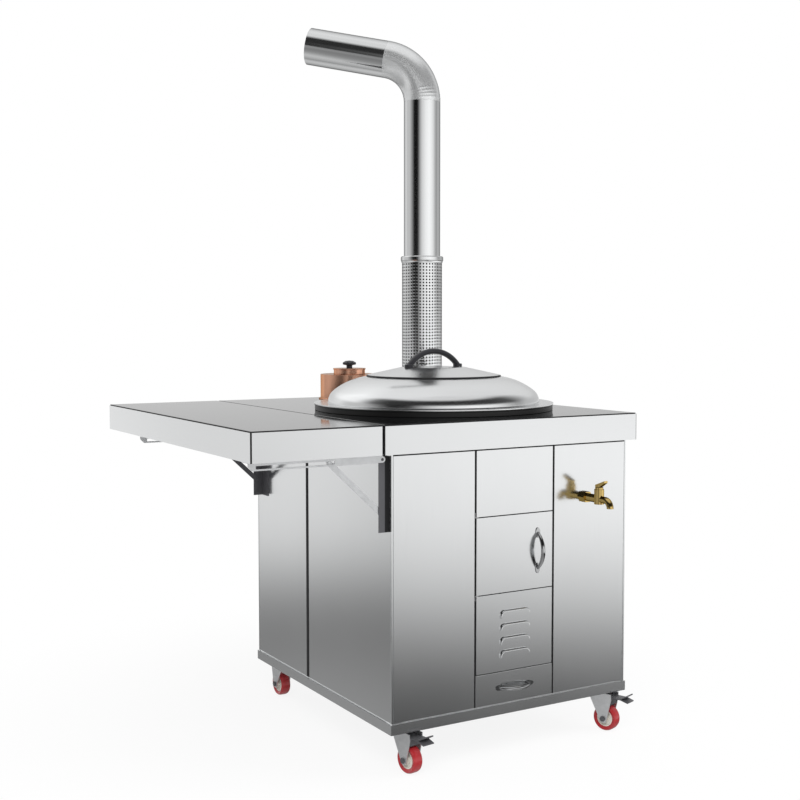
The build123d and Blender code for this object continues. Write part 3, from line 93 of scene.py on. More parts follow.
class StoveSizes(bpy.types.PropertyGroup):
    """Sizes that the frame's boxes don't give"""

    sheet_edge: length("Sheet edge", "Rounding of the edges of folded sheet", 0.0006)
    fine_edge: length("Fine edge", "Rounding of the edges of small plates and castings", 0.0004)
    corner_seam: length("Corner seam", "Width of the dark joint down each corner of the apron", 0.0042)
    rim_drop: length("Rim drop", "How far the apron's rim lies under the glass", 0.0028)
    glass_edge: length("Glass edge", "Ground edge round the worktop glass", 0.0012)
    bend_radius: length("Elbow radius", "Radius of the flue elbow's centre line", 0.1303)
    outlet_length: length("Outlet length", "Length of the pipe after the elbow", 0.2388)
    outlet_rise: angle("Outlet rise", "How steeply the outlet climbs", 11.5)
    outlet_heading: angle("Outlet heading", "Turn of the outlet from the rear towards the left", 48.3)
    pipe_wall: length("Pipe wall", "Wall of the flue pipes", 0.001)
    crimp_rise: length("Crimp rise", "How far the crimp rings stand proud of the elbow", 0.0003)
    crimp_pitch: length("Crimp pitch", "Distance between the crimp rings", 0.0078)
    crimp_count: number("Crimps", "Number of crimp rings on the elbow", 4)
    hole_diameter: length("Hole", "Diameter of the guard's holes", 0.0052)
    hole_columns: number("Hole columns", "Holes round the guard", 40)
    hole_rows: number("Hole rows", "Rows of holes in the guard", 42)
    plain_band: length("Plain band", "Height without holes at the foot of the guard", 0.012)
    collar_lip: length("Collar lip", "Height of the slopes above and below the collar's band", 0.0045)
    ring_band: length("Ring band", "Width of the iron ring on the glass", 0.011)
    ring_skirt: length("Ring skirt", "Thickness of the ring's skirt under the glass", 0.003)
    ring_edge: length("Ring edge", "Rounding of the iron ring", 0.0014)
    lid_skin: length("Lid skin", "Thickness of the lid's sheet", 0.0012)
    brim_lip: length("Brim lip", "How far the brim is turned in underneath", 0.0022)
    brim_roll: length("Brim roll", "Width of the brim's rolled edge", 0.003)
    foot_flat: length("Foot flat", "Groove of the brim outside the dome's foot", 0.006)
    foot_bead: length("Foot bead", "Bead beside that groove", 0.002)
    foot_lean: length("Foot lean", "How far the foot's wall leans in at half its height", 0.0025)
    dome_foot: length("Dome foot", "Radius at which the dome leaves the brim", 0.266)
    dome_haunch: length("Dome haunch", "Radius where the dome's steep foot turns over", 0.252)
    haunch_height: length("Haunch height", "Height of the dome's haunch above the brim", 0.0325)
    dome_radius: length("Dome shoulder", "Radius at the top of the dome's curve", 0.180)
    dome_height: length("Dome height", "Height of the dome's shoulder above the brim", 0.065)
    step_radius: length("Step radius", "Radius of the lid's upper step", 0.169)
    step_height: length("Step height", "Height of the step above the brim", 0.071)
    crown_radius: length("Crown radius", "Radius of the lid's flat top", 0.078)
    crown_height: length("Crown height", "Height of the lid's flat top above the brim", 0.0905)
    grip_edge: length("Grip edge", "Rounding of the lid's handle", 0.0005)
    grip_swell: length("Grip swell", "How much the lid's arched handle is fattened", 0.0024)
    louver_width: length("Louver width", "Width of each louver's hood", 0.082)
    louver_height: length("Louver height", "Height of each louver's hood", 0.0175)
    louver_reach: length("Louver reach", "How far the hoods stand out of the sheet", 0.0055)
    louver_pitch: length("Louver pitch", "Distance between the louvers", 0.031)
    louver_base: length("Louver base", "Height of the lowest louver's lip over the floor", 0.2345)
    louver_count: number("Louvers", "Number of louvers", 4)
    side_seam: length("Side seam", "Shaded margin behind the joint of the left side's sheets", 0.011)
    front_seam: length("Front seam", "Shaded margin beside the upright joints of the front", 0.0018)
    nut_depth: length("Nut depth", "Distance of the axle nuts' faces from the wheel's middle", 0.0192)
    nut_radius: length("Nut radius", "Radius that holds the axle nuts' faces", 0.0085)
    # Painted shade: width of the black on the front wall bracket beside the cabinet
    arm_shadow: length("Arm shadow", "Black margin of the front wall bracket beside the cabinet", 0.011)
    # Painted shade: width of the black along the front sheets' top, under the apron
    apron_shade: length("Top seam", "Shaded margin of the front sheets under the apron", 0.0045)


class StoveColours(bpy.types.PropertyGroup):
    """Colours of the finishes"""

    steel: colour("Steel", "Brushed stainless sheet", (0.80, 0.81, 0.815))
    polish: colour("Polished steel", "Lid and pipes", (0.83, 0.84, 0.845))
    chrome: colour("Chrome", "Bow handles", (0.50, 0.505, 0.51))
    glass: colour("Glass", "Black worktop glass", (0.005, 0.0055, 0.006))
    iron: colour("Iron", "Wok and its ring", (0.007, 0.007, 0.0075))
    soot: colour("Soot", "Firebox and smoke box", (0.065, 0.058, 0.052))
    copper: colour("Copper", "Water tank", (0.86, 0.47, 0.32))
    brass: colour("Brass", "Tap", (0.64, 0.46, 0.17))
    zinc: colour("Zinc", "Brackets, forks and runners", (0.74, 0.75, 0.76))
    dark: colour("Dark steel", "Wall brackets and pedals", (0.06, 0.064, 0.07))
    plastic: colour("Black plastic", "Knob and lid handle", (0.010, 0.010, 0.011))
    tyre: colour("Tyre", "Red wheel tread", (0.40, 0.022, 0.028))
    hub: colour("Hub", "Pale wheel centre", (0.70, 0.68, 0.62))


def sizes():
    """The size properties of this scene."""
    return bpy.context.scene.stove_sizes


def tints():
    """The colour properties of this scene."""
    return bpy.context.scene.stove_colours


# Modelling helpers
def rest():
    """Leave edit mode and select nothing."""
    if bpy.context.object and bpy.context.object.mode != "OBJECT":
        bpy.ops.object.mode_set(mode="OBJECT")
    bpy.ops.object.select_all(action="DESELECT")


def hold(piece):
    """Select one piece alone and make it active."""
    rest()
    piece.select_set(True)
    bpy.context.view_layer.objects.active = piece


def named(name):
    """Name the primitive just added, and put its place into its mesh."""
    piece = bpy.context.object
    piece.name = name
    piece.data.name = name
    bpy.ops.object.transform_apply(location=True, rotation=True, scale=True)
    return piece


def edit_all(piece, kind="VERT"):
    """Enter edit mode with the whole piece selected."""
    hold(piece)
    bpy.ops.object.mode_set(mode="EDIT")
    bpy.ops.mesh.select_mode(type=kind)
    bpy.ops.mesh.select_all(action="SELECT")


def tidy_mesh(piece):
    """Merge doubled points and turn the faces outwards."""
    edit_all(piece)
    bpy.ops.mesh.remove_doubles(threshold=0.00001)
    bpy.ops.mesh.normals_make_consistent(inside=False)
    rest()


def apply_modifier(piece, kind, **settings):
    """Add a modifier with these settings and apply it."""
    hold(piece)
    modifier = piece.modifiers.new(kind.title(), kind)
    for key, value in settings.items():
        setattr(modifier, key, value)
    bpy.ops.object.modifier_apply(modifier=modifier.name)


def round_edges(piece, width, segments=2, sharper_than=radians(32)):
    """Round the sharp edges of a piece."""
    apply_modifier(
        piece, "BEVEL", width=width, segments=segments, limit_method="ANGLE", angle_limit=sharper_than,
    )


def shade(piece, limit=SMOOTH_ANGLE):
    """Shade a piece smooth, with its sharp edges kept."""
    hold(piece)
    bpy.ops.object.shade_smooth_by_angle(angle=limit)
    apply_modifier(piece, "WEIGHTED_NORMAL", keep_sharp=True, weight=80)
    rest()


def place(piece, matrix):
    """Turn and move a piece from the origin, and keep its place in its mesh."""
    hold(piece)
    piece.matrix_world = matrix
    bpy.ops.object.transform_apply(location=True, rotation=True, scale=True)
    rest()


def along(start, way):
    """A matrix that takes +Z to this direction, from this start."""
    return Matrix.Translation(start) @ way.to_track_quat("Z", "Y").to_matrix().to_4x4()


def copy_of(piece, name):
    """Copy a piece with a mesh of its own."""
    copied = bpy.data.objects.new(name, piece.data.copy())
    copied.data.name = name
    bpy.context.scene.collection.objects.link(copied)
    return copied


def turned(name, centre, outline, sides=96):
    """Spin an outline of (radius, height) points about an upright line."""
    rest()
    radius, height = outline[0]
    bpy.ops.mesh.primitive_plane_add(size=0.01, location=(centre[0] + radius, centre[1], height))
    piece = named(name)
    edit_all(piece)
    bpy.ops.mesh.merge(type="CENTER")
    for next_radius, next_height in outline[1:]:
        step = (next_radius - radius, 0, next_height - height)
        bpy.ops.mesh.extrude_region_move(TRANSFORM_OT_translate={"value": step})
        radius, height = next_radius, next_height
    bpy.ops.mesh.select_all(action="SELECT")
    bpy.ops.mesh.spin(steps=sides, angle=2 * pi, center=(centre[0], centre[1], 0), axis=(0, 0, 1))
    tidy_mesh(piece)
    return piece


def swung(name, start, radius, pivot, axis, turn, scales, sides=96):
    """Swing a ring round a pivot, scaled by each of the given factors in turn."""
    rest()
    bpy.ops.mesh.primitive_circle_add(vertices=sides, radius=radius * scales[0])
    piece = named(name)
    place(piece, along(start, axis.cross(start - pivot).normalized()))
    edit_all(piece)
    step = turn / (len(scales) - 1)
    for index in range(1, len(scales)):
        bpy.ops.mesh.spin(steps=1, angle=-step, center=pivot, axis=axis)
        middle = pivot + Matrix.Rotation(step * index, 3, axis) @ (start - pivot)
        ratio = scales[index] / scales[index - 1]
        bpy.ops.transform.resize(value=(ratio, ratio, ratio), center_override=middle)
    tidy_mesh(piece)
    return piece


def arc_points(first, middle, last, steps):
    """Points along the circle through three (radius, height) points."""
    a, b, c = (Vector(point) for point in (first, middle, last))
    scale = 2 * (a.x * (b.y - c.y) + b.x * (c.y - a.y) + c.x * (a.y - b.y))
    square_a, square_b, square_c = a.length_squared, b.length_squared, c.length_squared
    centre = Vector((
        (square_a * (b.y - c.y) + square_b * (c.y - a.y) + square_c * (a.y - b.y)) / scale,
        (square_a * (c.x - b.x) + square_b * (a.x - c.x) + square_c * (b.x - a.x)) / scale,
    ))
    radius = (a - centre).length
    start = atan2(a.y - centre.y, a.x - centre.x)
    turn = atan2(c.y - centre.y, c.x - centre.x) - start
    return [
        (centre.x + radius * cos(start + turn * i / steps), centre.y + radius * sin(start + turn * i / steps))
        for i in range(steps + 1)
    ]


def refined(node, name, width=0.0, segments=2, limit=SMOOTH_ANGLE):
    """Copy a CAD node's mesh, merge it, clear its flat faces of triangles and round its edges."""
    piece = copy_of(frame["nodes"][node], name)
    edit_all(piece)
    bpy.ops.mesh.customdata_custom_splitnormals_clear()
    bpy.ops.mesh.remove_doubles(threshold=0.000002)
    bpy.ops.mesh.dissolve_limited(angle_limit=radians(0.5), delimit={"SHARP"})
    rest()
    if width:
        round_edges(piece, width, segments)
    shade(piece, limit)
    return piece


def fit_out(piece, body, material, nodes=()):
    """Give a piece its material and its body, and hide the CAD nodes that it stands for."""
    piece.data.materials.clear()
    piece.data.materials.append(material)
    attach(piece, body)
    if nodes:
        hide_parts(*nodes)
    return piece


def cut_at(piece, axis, place):
    """Cut the whole piece by a plane across an axis."""
    edit_all(piece)
    across = [0.0, 0.0, 0.0]
    across[axis] = 1.0
    bpy.ops.mesh.bisect(plane_co=[place * part for part in across], plane_no=across)
    rest()


def pick(piece, kind, chosen):
    """Select the edges or faces that pass a test, and stay in edit mode."""
    edit_all(piece, kind)
    bpy.ops.mesh.select_all(action="DESELECT")
    rest()
    for part in piece.data.edges if kind == "EDGE" else piece.data.polygons:
        part.select = chosen(part)
    hold(piece)
    bpy.ops.object.mode_set(mode="EDIT")


def refit(width, segments, *rows):
    """Refine and fit out CAD nodes, given as (node, name, body, material, slot); the slot is not used."""
    for node, name, body, material, slot in rows:
        fit_out(refined(node, name, width, segments), body, material, [node])


def second_material(piece, material, chosen):
    """Give a second material to the faces whose middle passes a test."""
    piece.data.materials.append(material)
    for face in piece.data.polygons:
        if chosen(face.center, face.normal):
            face.material_index = 1


def paint(material, *nodes):
    """Give CAD nodes a finished material."""
    for node in nodes:
        for holder in frame["nodes"][node].material_slots:
            holder.material = material


def middle_of(node):
    """The middle of a CAD node's box."""
    low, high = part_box(node)
    return (low + high) / 2


def radius_of(node):
    """Half the width of a CAD node's box."""
    low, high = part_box(node)
    return (high.x - low.x) / 2


# Materials
def grey(level):
    """An opaque grey."""
    return (level, level, level, 1)


def add(tree, kind, **values):
    """Add a shader node and set some of its sockets."""
    made = tree.nodes.new("ShaderNode" + kind)
    for socket, value in values.items():
        made.inputs[socket.replace("_", " ")].default_value = value
    return made


def finish(name, tint, metal, rough, rough_range=0.0, stretch=(1, 1, 1), grain=40.0, shift=0.04, relief=0.0,
           depth=0.0001, patch=6.0, **sockets):
    """A material whose colour, roughness and relief vary, read from object coordinates."""
    made = bpy.data.materials.get(name)
    if made:
        return made
    made = bpy.data.materials.new(name)
    made.use_nodes = True
    tree = made.node_tree
    shader = tree.nodes["Principled BSDF"]
    shader.inputs["Metallic"].default_value = metal
    for socket, value in sockets.items():
        shader.inputs[socket.replace("_", " ")].default_value = value
    where = add(tree, "TexCoord")
    mapping = add(tree, "Mapping", Scale=stretch)
    tree.links.new(where.outputs["Object"], mapping.inputs["Vector"])
    fine = add(tree, "TexNoise", Scale=grain, Detail=4.0)
    tree.links.new(mapping.outputs["Vector"], fine.inputs["Vector"])
    blend = add(tree, "Mix")
    blend.data_type = "RGBA"
    blend.inputs[6].default_value = (*[value * (1 - shift) for value in tint], 1)
    blend.inputs[7].default_value = (*[min(1.0, value * (1 + shift)) for value in tint], 1)
    tree.links.new(fine.outputs["Fac"], blend.inputs[0])
    tree.links.new(blend.outputs[2], shader.inputs["Base Color"])
    broad = add(tree, "TexNoise", Scale=patch, Detail=3.0)
    tree.links.new(where.outputs["Object"], broad.inputs["Vector"])
    spread = add(tree, "MapRange", To_Min=rough - rough_range, To_Max=rough + rough_range)
    tree.links.new(broad.outputs["Fac"], spread.inputs["Value"])
    tree.links.new(spread.outputs["Result"], shader.inputs["Roughness"])
    if relief:
        bump = add(tree, "Bump", Strength=relief, Distance=depth)
        tree.links.new(fine.outputs["Fac"], bump.inputs["Height"])
        tree.links.new(bump.outputs["Normal"], shader.inputs["Normal"])
    return made


def brushed_upright():
    """Stainless sheet brushed up and down."""
    return finish("brushed_upright", tints().steel, 1.0, 0.16, 0.015, (70, 70, 1), 12.0, 0.025, 0.1)


def brushed_along():
    """Stainless sheet brushed along the front and the sides."""
    return finish("brushed_along", tints().steel, 1.0, 0.18, 0.015, (1, 1, 70), 12.0, 0.025, 0.1)


def polished_steel():
    """Polished lid steel."""
    return finish(
        "polished_steel", tints().polish, 1.0, 0.19, 0.02, (1, 1, 20), 12.0, 0.015,
        Specular_Tint=grey(0.85),
    )


def pipe_steel():
    """Drawn pipe steel with faint lines along it."""
    return finish(
        "pipe_steel", tints().polish, 1.0, 0.12, 0.02, (40, 40, 1), 14.0, 0.02, 0.04,
        Specular_Tint=grey(0.25),
    )


def elbow_steel():
    """Satin steel of the pressed elbow."""
    return finish(
        "elbow_steel", tints().polish, 0.75, 0.24, 0.03, (1, 1, 1), 160.0, 0.03, 0.05,
        Specular_Tint=grey(0),
    )


def bright_chrome():
    """Bright plated handles."""
    return finish(
        "bright_chrome", tints().chrome, 1.0, 0.06, 0.015, (1, 1, 1), 30.0, 0.03, Specular_Tint=grey(0.3),
    )


def black_glass():
    """Black worktop glass."""
    return finish("black_glass", tints().glass, 0.0, 0.07, 0.01, (1, 1, 1), 30.0, 0.1, patch=4.0)


def black_iron():
    """Seasoned and polished cast iron."""
    return finish(
        "black_iron", tints().iron, 0.0, 0.24, 0.05, (1, 1, 1), 420.0, 0.25, 0.15, 0.0002,
        Specular_IOR_Level=0.2,
    )


def sooty_iron():
    """Sooty plate of the firebox and smoke box."""
    return finish("sooty_iron", tints().soot, 0.3, 0.72, 0.12, (1, 1, 1), 60.0, 0.45, 0.35, 0.0005)


def spun_copper():
    """Spun copper with faint rings."""
    return finish(
        "spun_copper", tints().copper, 1.0, 0.2, 0.02, (1, 1, 30), 18.0, 0.06, 0.06, patch=9.0,
        Specular_Tint=(0.5, 0.4, 0.3, 1),
    )


def cast_brass():
    """Cast and turned brass."""
    return finish(
        "cast_brass", tints().brass, 1.0, 0.07, 0.02, (1, 1, 1), 220.0, 0.1, 0.04,
        Specular_Tint=(0.1, 0.08, 0.05, 1),
    )


def zinc_plate():
    """Zinc-plated strap."""
    return finish("zinc_plate", tints().zinc, 0.85, 0.34, 0.07, (1, 1, 1), 90.0, 0.12, 0.1, patch=30.0)


def dark_steel():
    """Dark painted strap; on the rear stay it is painted shade."""
    return finish("dark_steel", tints().dark, 0.3, 0.4, 0.06, (1, 1, 1), 260.0, 0.2, 0.15, patch=20.0)


def joint_and_shade_black():
    """The dark inside of a joint; also laid on as painted shade and as a painted dark reflection."""
    return finish("joint_and_shade_black", tints().plastic, 0.0, 0.7, 0.05, (1, 1, 1), 300.0, 0.3)


def black_plastic():
    """Moulded black plastic."""
    return finish(
        "black_plastic", tints().plastic, 0.0, 0.16, 0.04, (1, 1, 1), 500.0, 0.2, 0.05, patch=40.0,
        Specular_IOR_Level=0.15,
    )


def red_rubber():
    """Cast tread of a wheel."""
    return finish(
        "red_rubber", tints().tyre, 0.0, 0.34, 0.07, (1, 1, 1), 160.0, 0.12, 0.1, 0.0002, 25.0,
        Coat_Weight=0.25,
    )


def moulded_hub():
    """Moulded pale wheel centre."""
    return finish("moulded_hub", tints().hub, 0.0, 0.42, 0.06, (1, 1, 1), 200.0, 0.06, 0.1, patch=25.0)


class StoveOperator:
    """What every operator of the stove shares"""

    bl_options = {"REGISTER", "UNDO"}


class STOVE_OT_cabinet(StoveOperator, bpy.types.Operator):
    """Finish the cabinet's sheets, door, drawer and base"""

    bl_idname = "stove.cabinet"
    bl_label = "Cabinet"

    def execute(self, context):
        size = sizes()
        seam = size.front_seam
        edge = size.sheet_edge
        cell = [corner.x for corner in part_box("front_top_panel")]
        # Painted shade: a black margin along the top of the front sheets, under the apron
        shade_under_apron = (2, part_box("front_top_panel")[1].z, -size.apron_shade)
        cell_sides = ((0, cell[0], seam), (0, cell[1], -seam))
        for node, body, margins in (
            ("front_left_panel", "stove", ((0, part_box("front_left_panel")[1].x, -seam), shade_under_apron)),
            ("front_right_panel", "stove", ((0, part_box("front_right_panel")[0].x, seam), shade_under_apron)),
            ("front_top_panel", "stove", (*cell_sides, shade_under_apron)),
            ("left_front_panel", "stove", ((1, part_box("left_front_panel")[1].y, -seam),)),
            ("left_rear_panel", "stove", ((1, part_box("left_rear_panel")[0].y, size.side_seam),)),
            ("right_panel", "stove", ()),
            ("rear_panel", "stove", ()),
            ("fire_door", "fire_door", cell_sides),
            ("ash_drawer", "ash_drawer", ()),
        ):
            sheet = refined(node, node + "_sheet", edge)
            for axis, joint, width in margins:
                cut_at(sheet, axis, joint + width)
            shade(sheet)
            fit_out(sheet, body, brushed_upright(), [node])
            # The margins are black: dark joints beside the upright seams, and painted shade under the apron
            second_material(sheet, joint_and_shade_black(), lambda c, n: any(
                abs(c[axis] - joint) < abs(width) for axis, joint, width in margins
            ))
        for node in ("base_frame", "floor_pan"):
            sheet = refined(node, node + "_sheet", edge)
            fit_out(sheet, "stove", brushed_along(), [node])
        paint(brushed_upright(), "corner_posts")
        paint(joint_and_shade_black(), "front_frame")
        paint(zinc_plate(), "drawer_runners", "door_hinge_pins", "caster_plates")
        return {"FINISHED"}


class STOVE_OT_louvers(StoveOperator, bpy.types.Operator):
    """Model the louvered sheet: slots cut through it and a pressed hood over each"""

    bl_idname = "stove.louvers"
    bl_label = "Louvers"

    def execute(self, context):
        size = sizes()
        low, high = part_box("louver_panel")
        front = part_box("front_top_panel")[0].y
        centre = Vector(((low.x + high.x) / 2, front, (low.z + high.z) / 2))
        rest()
        bpy.ops.mesh.primitive_plane_add(size=1, location=centre, rotation=(pi / 2, 0, 0))
        sheet = named("louver_panel_sheet")
        edit_all(sheet)
        bpy.ops.transform.resize(value=(high.x - low.x, 1, high.z - low.z), center_override=centre)
        slot = size.louver_width / 2 - size.louver_height
        slot_low, slot_high = size.louver_height * 0.1, size.louver_height * 0.6
        bases = [size.louver_base + index * size.louver_pitch for index in range(size.louver_count)]
        seam = size.front_seam
        for across in (centre.x - slot, centre.x + slot, low.x + seam, high.x - seam):
            cut_at(sheet, 0, across)
        for base in bases:
            cut_at(sheet, 2, base + slot_low)
            cut_at(sheet, 2, base + slot_high)
        pick(sheet, "FACE", lambda face: abs(face.center.x - centre.x) < slot and any(
            slot_low < face.center.z - base < slot_high for base in bases
        ))
        bpy.ops.mesh.delete(type="FACE")
        apply_modifier(sheet, "SOLIDIFY", thickness=high.y - front, offset=-1.0)
        hoods = [self.hood(size, Vector((centre.x, front, bases[0])))]
        for base in bases[1:]:
            hood = copy_of(hoods[0], "hood")
            for vertex in hood.data.vertices:
                vertex.co.z += base - bases[0]
            hoods.append(hood)
        hold(sheet)
        for hood in hoods:
            hood.select_set(True)
        bpy.ops.object.join()
        shade(sheet)
        fit_out(sheet, "stove", brushed_upright(), ["louver_panel"])
        second_material(sheet, joint_and_shade_black(), lambda c, n: (
            min(abs(c.x - low.x), abs(c.x - high.x)) < seam
        ))
        return {"FINISHED"}

    def hood(self, size, foot):
        """Press one hood: a shallow box, open at its back and its lip, with rounded corners and edges."""
        middle = foot + Vector((0, -size.louver_reach / 2, size.louver_height / 2))
        rest()
        bpy.ops.mesh.primitive_cube_add(size=1, location=middle)
        piece = named("hood")
        edit_all(piece, "FACE")
        bpy.ops.transform.resize(
            value=(size.louver_width, size.louver_reach, size.louver_height), center_override=middle,
        )
        pick(piece, "FACE", lambda face: face.normal.y > 0.9 or face.normal.z < -0.9)
        bpy.ops.mesh.delete(type="FACE")
        top = foot.z + size.louver_height
        lip = foot.y - size.louver_reach
        ends = piece.data.vertices
        pick(piece, "EDGE", lambda edge: (
            all(ends[i].co.z > top - NEAR for i in edge.vertices)
            and abs(ends[edge.vertices[0]].co.x - ends[edge.vertices[1]].co.x) < NEAR
        ))
        bpy.ops.mesh.bevel(offset=size.louver_height * 0.75, segments=7)
        ends = piece.data.vertices
        pick(piece, "EDGE", lambda edge: (
            all(ends[i].co.y < lip + NEAR for i in edge.vertices)
            and not all(ends[i].co.z < foot.z + NEAR for i in edge.vertices)
        ))
        bpy.ops.mesh.bevel(offset=size.louver_reach * 0.5, segments=3)
        rest()
        apply_modifier(piece, "SOLIDIFY", thickness=size.sheet_edge * 1.3, offset=-1.0)
        return piece


class STOVE_OT_worktop(StoveOperator, bpy.types.Operator):
    """Model the worktop's and the leaf's folded steel trays and their black glass"""

    bl_idname = "stove.worktop"
    bl_label = "Worktop"

    def execute(self, context):
        size = sizes()
        for top, body in (("worktop", "stove"), ("leaf", "leaf")):
            tray, glass = top + "_tray", top + "_glass"
            low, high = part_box(tray)
            piece = refined(tray, tray + "_sheet")
            for vertex in piece.data.vertices:
                if vertex.co.z > high.z - NEAR:
                    vertex.co.z -= size.rim_drop

            def at_corner(edge):
                ends = [piece.data.vertices[i].co for i in edge.vertices]
                middle = (ends[0] + ends[1]) / 2
                return abs(ends[0].z - ends[1].z) > (high.z - low.z) / 2 and min(
                    (middle.xy - Vector((x, y))).length for x in (low.x, high.x) for y in (low.y, high.y)
                ) < NEAR * 2

            pick(piece, "EDGE", at_corner)
            bpy.ops.mesh.bevel(offset=size.corner_seam * 0.7, segments=3)
            rest()
            round_edges(piece, size.sheet_edge)
            shade(piece)
            fit_out(piece, body, brushed_along(), [tray])
            limit = size.corner_seam * 0.72
            second_material(piece, joint_and_shade_black(), lambda c, n: (
                min(abs(c.x - low.x), abs(c.x - high.x)) < limit
                and min(abs(c.y - low.y), abs(c.y - high.y)) < limit
            ))
            pane = refined(glass, glass + "_pane", size.glass_edge, 3)
            fit_out(pane, body, black_glass(), [glass])
            # Painted shade: the glass's edges are black, the dark line between the glass and the apron's rim
            second_material(pane, joint_and_shade_black(), lambda c, n: abs(n.z) < 0.3)
        return {"FINISHED"}


class STOVE_OT_firebox(StoveOperator, bpy.types.Operator):
    """Finish the firebox, grate, smoke box and door liner"""

    bl_idname = "stove.firebox"
    bl_label = "Firebox"

    def execute(self, context):
        paint(sooty_iron(), "firebox", "fire_grate", "smoke_box", "door_liner")
        return {"FINISHED"}


class STOVE_OT_wok(StoveOperator, bpy.types.Operator):
    """Model the wok and the iron ring that it hangs in"""

    bl_idname = "stove.wok"
    bl_label = "Wok and ring"

    def execute(self, context):
        size = sizes()
        low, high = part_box("wok_ring")
        centre = middle_of("wok_ring")
        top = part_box("worktop_glass")[1].z
        outer = radius_of("wok_ring")
        inner = outer - size.ring_band
        skirt = inner + size.ring_skirt
        ring = turned("wok_collar", centre, [
            (inner, low.z), (skirt, low.z), (skirt, top), (outer, top),
            (outer, high.z), (inner, high.z), (inner, low.z),
        ], 160)
        round_edges(ring, size.ring_edge, 3)
        shade(ring)
        fit_out(ring, "stove", black_iron(), ["wok_ring"])
        pan = refined("wok", "wok_pan")
        fit_out(pan, "wok", black_iron(), ["wok"])
        return {"FINISHED"}


class STOVE_OT_lid(StoveOperator, bpy.types.Operator):
    """Model the wok's lid with its brim, dome, step and arched handle"""

    bl_idname = "stove.lid"
    bl_label = "Lid"

    def execute(self, context):
        size = sizes()
        centre = middle_of("lid_dome")
        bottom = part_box("lid_dome")[0].z
        brim = radius_of("lid_dome")
        skin = size.lid_skin
        foot = size.dome_foot
        outline = [
            (brim - size.brim_lip, 0.0), (brim, 0.0), (brim, skin * 1.6), (brim - size.brim_roll, skin * 2),
            (foot + size.foot_flat, skin * 1.6), (foot + size.foot_bead, skin * 2.2),
        ]
        haunch = (size.dome_haunch, size.haunch_height)
        lower = (foot - size.foot_lean, size.haunch_height * 0.5)
        upper = (size.dome_haunch * 0.885, size.haunch_height * 1.56)
        outline += arc_points((foot - skin / 4, skin * 3), lower, haunch, 10)
        outline += arc_points(haunch, upper, (size.dome_radius, size.dome_height), 14)[1:]
        outline += [
            (size.step_radius + 0.004, size.dome_height + skin * 1.2),
            (size.step_radius + 0.001, size.dome_height + skin * 1.8),
            (size.step_radius, size.step_height - skin),
            (size.step_radius - 0.002, size.step_height),
            (size.crown_radius + 0.004, size.crown_height - 0.0007),
            (size.crown_radius - 0.004, size.crown_height),
            (0.0, size.crown_height),
        ]
        lid = turned("lid_shell", centre, [(r, bottom + z) for r, z in outline], 160)
        apply_modifier(lid, "SOLIDIFY", thickness=skin * 0.8, offset=-1.0)
        shade(lid, radians(30))
        fit_out(lid, "lid", polished_steel(), ["lid_dome"])
        # Painted reflection: the riser of the lid's step is black, the dark line that the polished step shows
        second_material(lid, joint_and_shade_black(), lambda c, n: (
            abs((c - centre).xy.length - size.step_radius) < skin
            and size.dome_height < c.z - bottom < size.step_height - skin / 3
        ))
        handle = refined("lid_handle", "lid_grip", size.grip_edge)
        edit_all(handle)
        bpy.ops.transform.shrink_fatten(value=size.grip_swell)
        shade(handle)
        fit_out(handle, "lid", black_plastic(), ["lid_handle"])
        return {"FINISHED"}


class STOVE_OT_tank(StoveOperator, bpy.types.Operator):
    """Model the copper water tank, its lid and its fluted knob"""

    bl_idname = "stove.tank"
    bl_label = "Water tank"

    def execute(self, context):
        refit(0.0015, 3, ("water_tank", "tank_shell", "stove", spun_copper(), "copper"))
        refit(0.0009, 3, ("tank_lid", "tank_cover", "tank_lid", spun_copper(), "copper"))
        refit(0.0008, 3, ("tank_knob", "tank_grip", "tank_lid", black_plastic(), "black_plastic"))
        paint(spun_copper(), "water_pipe")
        return {"FINISHED"}


def tube(name, centre, low, high, radius, wall, rings=()):
    """A plain tube with softened ends and extra rings at the given heights."""
    lip = wall * 0.3
    return turned(name, centre, [
        (radius - lip, low), (radius, low + lip), *[(radius, height) for height in rings],
        (radius, high - lip), (radius - lip, high),
        (radius - wall + lip, high), (radius - wall, high - lip), (radius - wall, low + lip),
        (radius - wall + lip, low), (radius - lip, low),
    ], 128)


